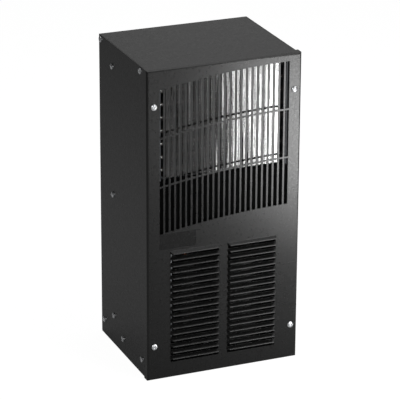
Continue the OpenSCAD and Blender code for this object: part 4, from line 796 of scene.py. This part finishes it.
def pale_ground(name):
    """White to the camera with the object's shadow on it, and in a mirror only a share of that.
    To all other light it is a plain grey floor."""
    material = bpy.data.materials.new(name)
    material.use_nodes = True
    tree = material.node_tree
    tree.nodes.clear()
    path = place_node(tree, "ShaderNodeLightPath").outputs
    mirrored = reckon(tree, "MULTIPLY", path["Is Glossy Ray"], MIRRORED_SHARE)
    share = reckon(tree, "ADD", seen_directly(tree, path), mirrored)
    matt = place_node(tree, "ShaderNodeBsdfDiffuse", {"Color": grey(FLOOR_SHADE)})
    glow = place_node(tree, "ShaderNodeEmission", {"Color": grey(1), "Strength": FLOOR_GLOW})
    shadow = place_node(tree, "ShaderNodeBsdfDiffuse", {"Color": grey(SHADOW_SHADE)})
    white = place_node(tree, "ShaderNodeAddShader", {0: glow.outputs[0], 1: shadow.outputs[0]})
    mix = place_node(tree, "ShaderNodeMixShader", {0: share, 1: matt.outputs[0], 2: white.outputs[0]})
    place_node(tree, "ShaderNodeOutputMaterial", {0: mix.outputs[0]})
    return material


def build_floor():
    mesh = bpy.data.meshes.new("floor")
    half = FLOOR_HALF_WIDTH
    mesh.from_pydata([(-half, -half, 0), (half, -half, 0), (half, half, 0), (-half, half, 0)],
                     [], [(0, 1, 2, 3)])
    mesh.materials.append(pale_ground("pale_floor"))
    add_piece("floor", mesh)


def build_world():
    """White to the camera, and a faint even light to the object."""
    world = bpy.data.worlds.new("studio")
    bpy.context.scene.world = world
    world.use_nodes = True
    tree = world.node_tree
    tree.nodes.clear()
    path = place_node(tree, "ShaderNodeLightPath").outputs
    dim = place_node(tree, "ShaderNodeBackground", {"Color": grey(1), "Strength": WORLD_LEVEL})
    white = place_node(tree, "ShaderNodeBackground", {"Color": grey(1)})
    mix = place_node(tree, "ShaderNodeMixShader", {
        0: seen_directly(tree, path), 1: dim.outputs[0], 2: white.outputs[0]})
    place_node(tree, "ShaderNodeOutputWorld", {0: mix.outputs[0]})


# Each lamp's place, the point it faces, its width and height in metres, and its power in watts
LAMPS = {
    "overhead": ((0.40, 0.10, 1.90), (0, 0, 0.25), 1.6, 1.4, 12.0),
    "high_left": ((-0.90, -1.40, 0.90), (0, 0, 0.25), 0.7, 0.7, 6.0),
    "high_right": ((0.80, -1.10, 1.70), (0, 0, 0.25), 0.9, 0.9, 6.0),
    "front_right": ((0.95, -2.35, 1.15), (0, 0, 0.25), 0.6, 0.6, 12.0),
    "back_right": ((0.90, 1.70, 1.20), (0, 0, 0.50), 1.1, 1.1, 1.6),
    "low_right": ((0.50, -0.80, 0.10), (0.06, -0.1, 0.36), 0.24, 0.20, 1.0),
    "near_right": ((0.35, -0.47, 0.235), (0.35, 0.3, 0.235), 0.18, 0.38, 1.2),
    "near_middle": ((0.24, -0.45, 0.28), (0.24, 0.3, 0.28), 0.16, 0.28, 0.7),
    "low_front": ((0.06, -0.90, 0.24), (0.06, 0.3, 0.24), 0.16, 0.30, 0.25),
}


def build_lamps():
    for name, (place, target, width, height, power) in LAMPS.items():
        data = bpy.data.lights.new(name, "AREA")
        data.shape = "RECTANGLE"
        data.size = width
        data.size_y = height
        data.energy = power
        lamp = bpy.data.objects.new(name, data)
        lamp.location = place
        lamp.rotation_euler = (Vector(place) - Vector(target)).to_track_quat("Z", "Y").to_euler()
        lamp.visible_camera = False
        bpy.context.scene.collection.objects.link(lamp)


build_floor()
build_world()
build_lamps()
bpy.context.scene.view_settings.view_transform = "Standard"
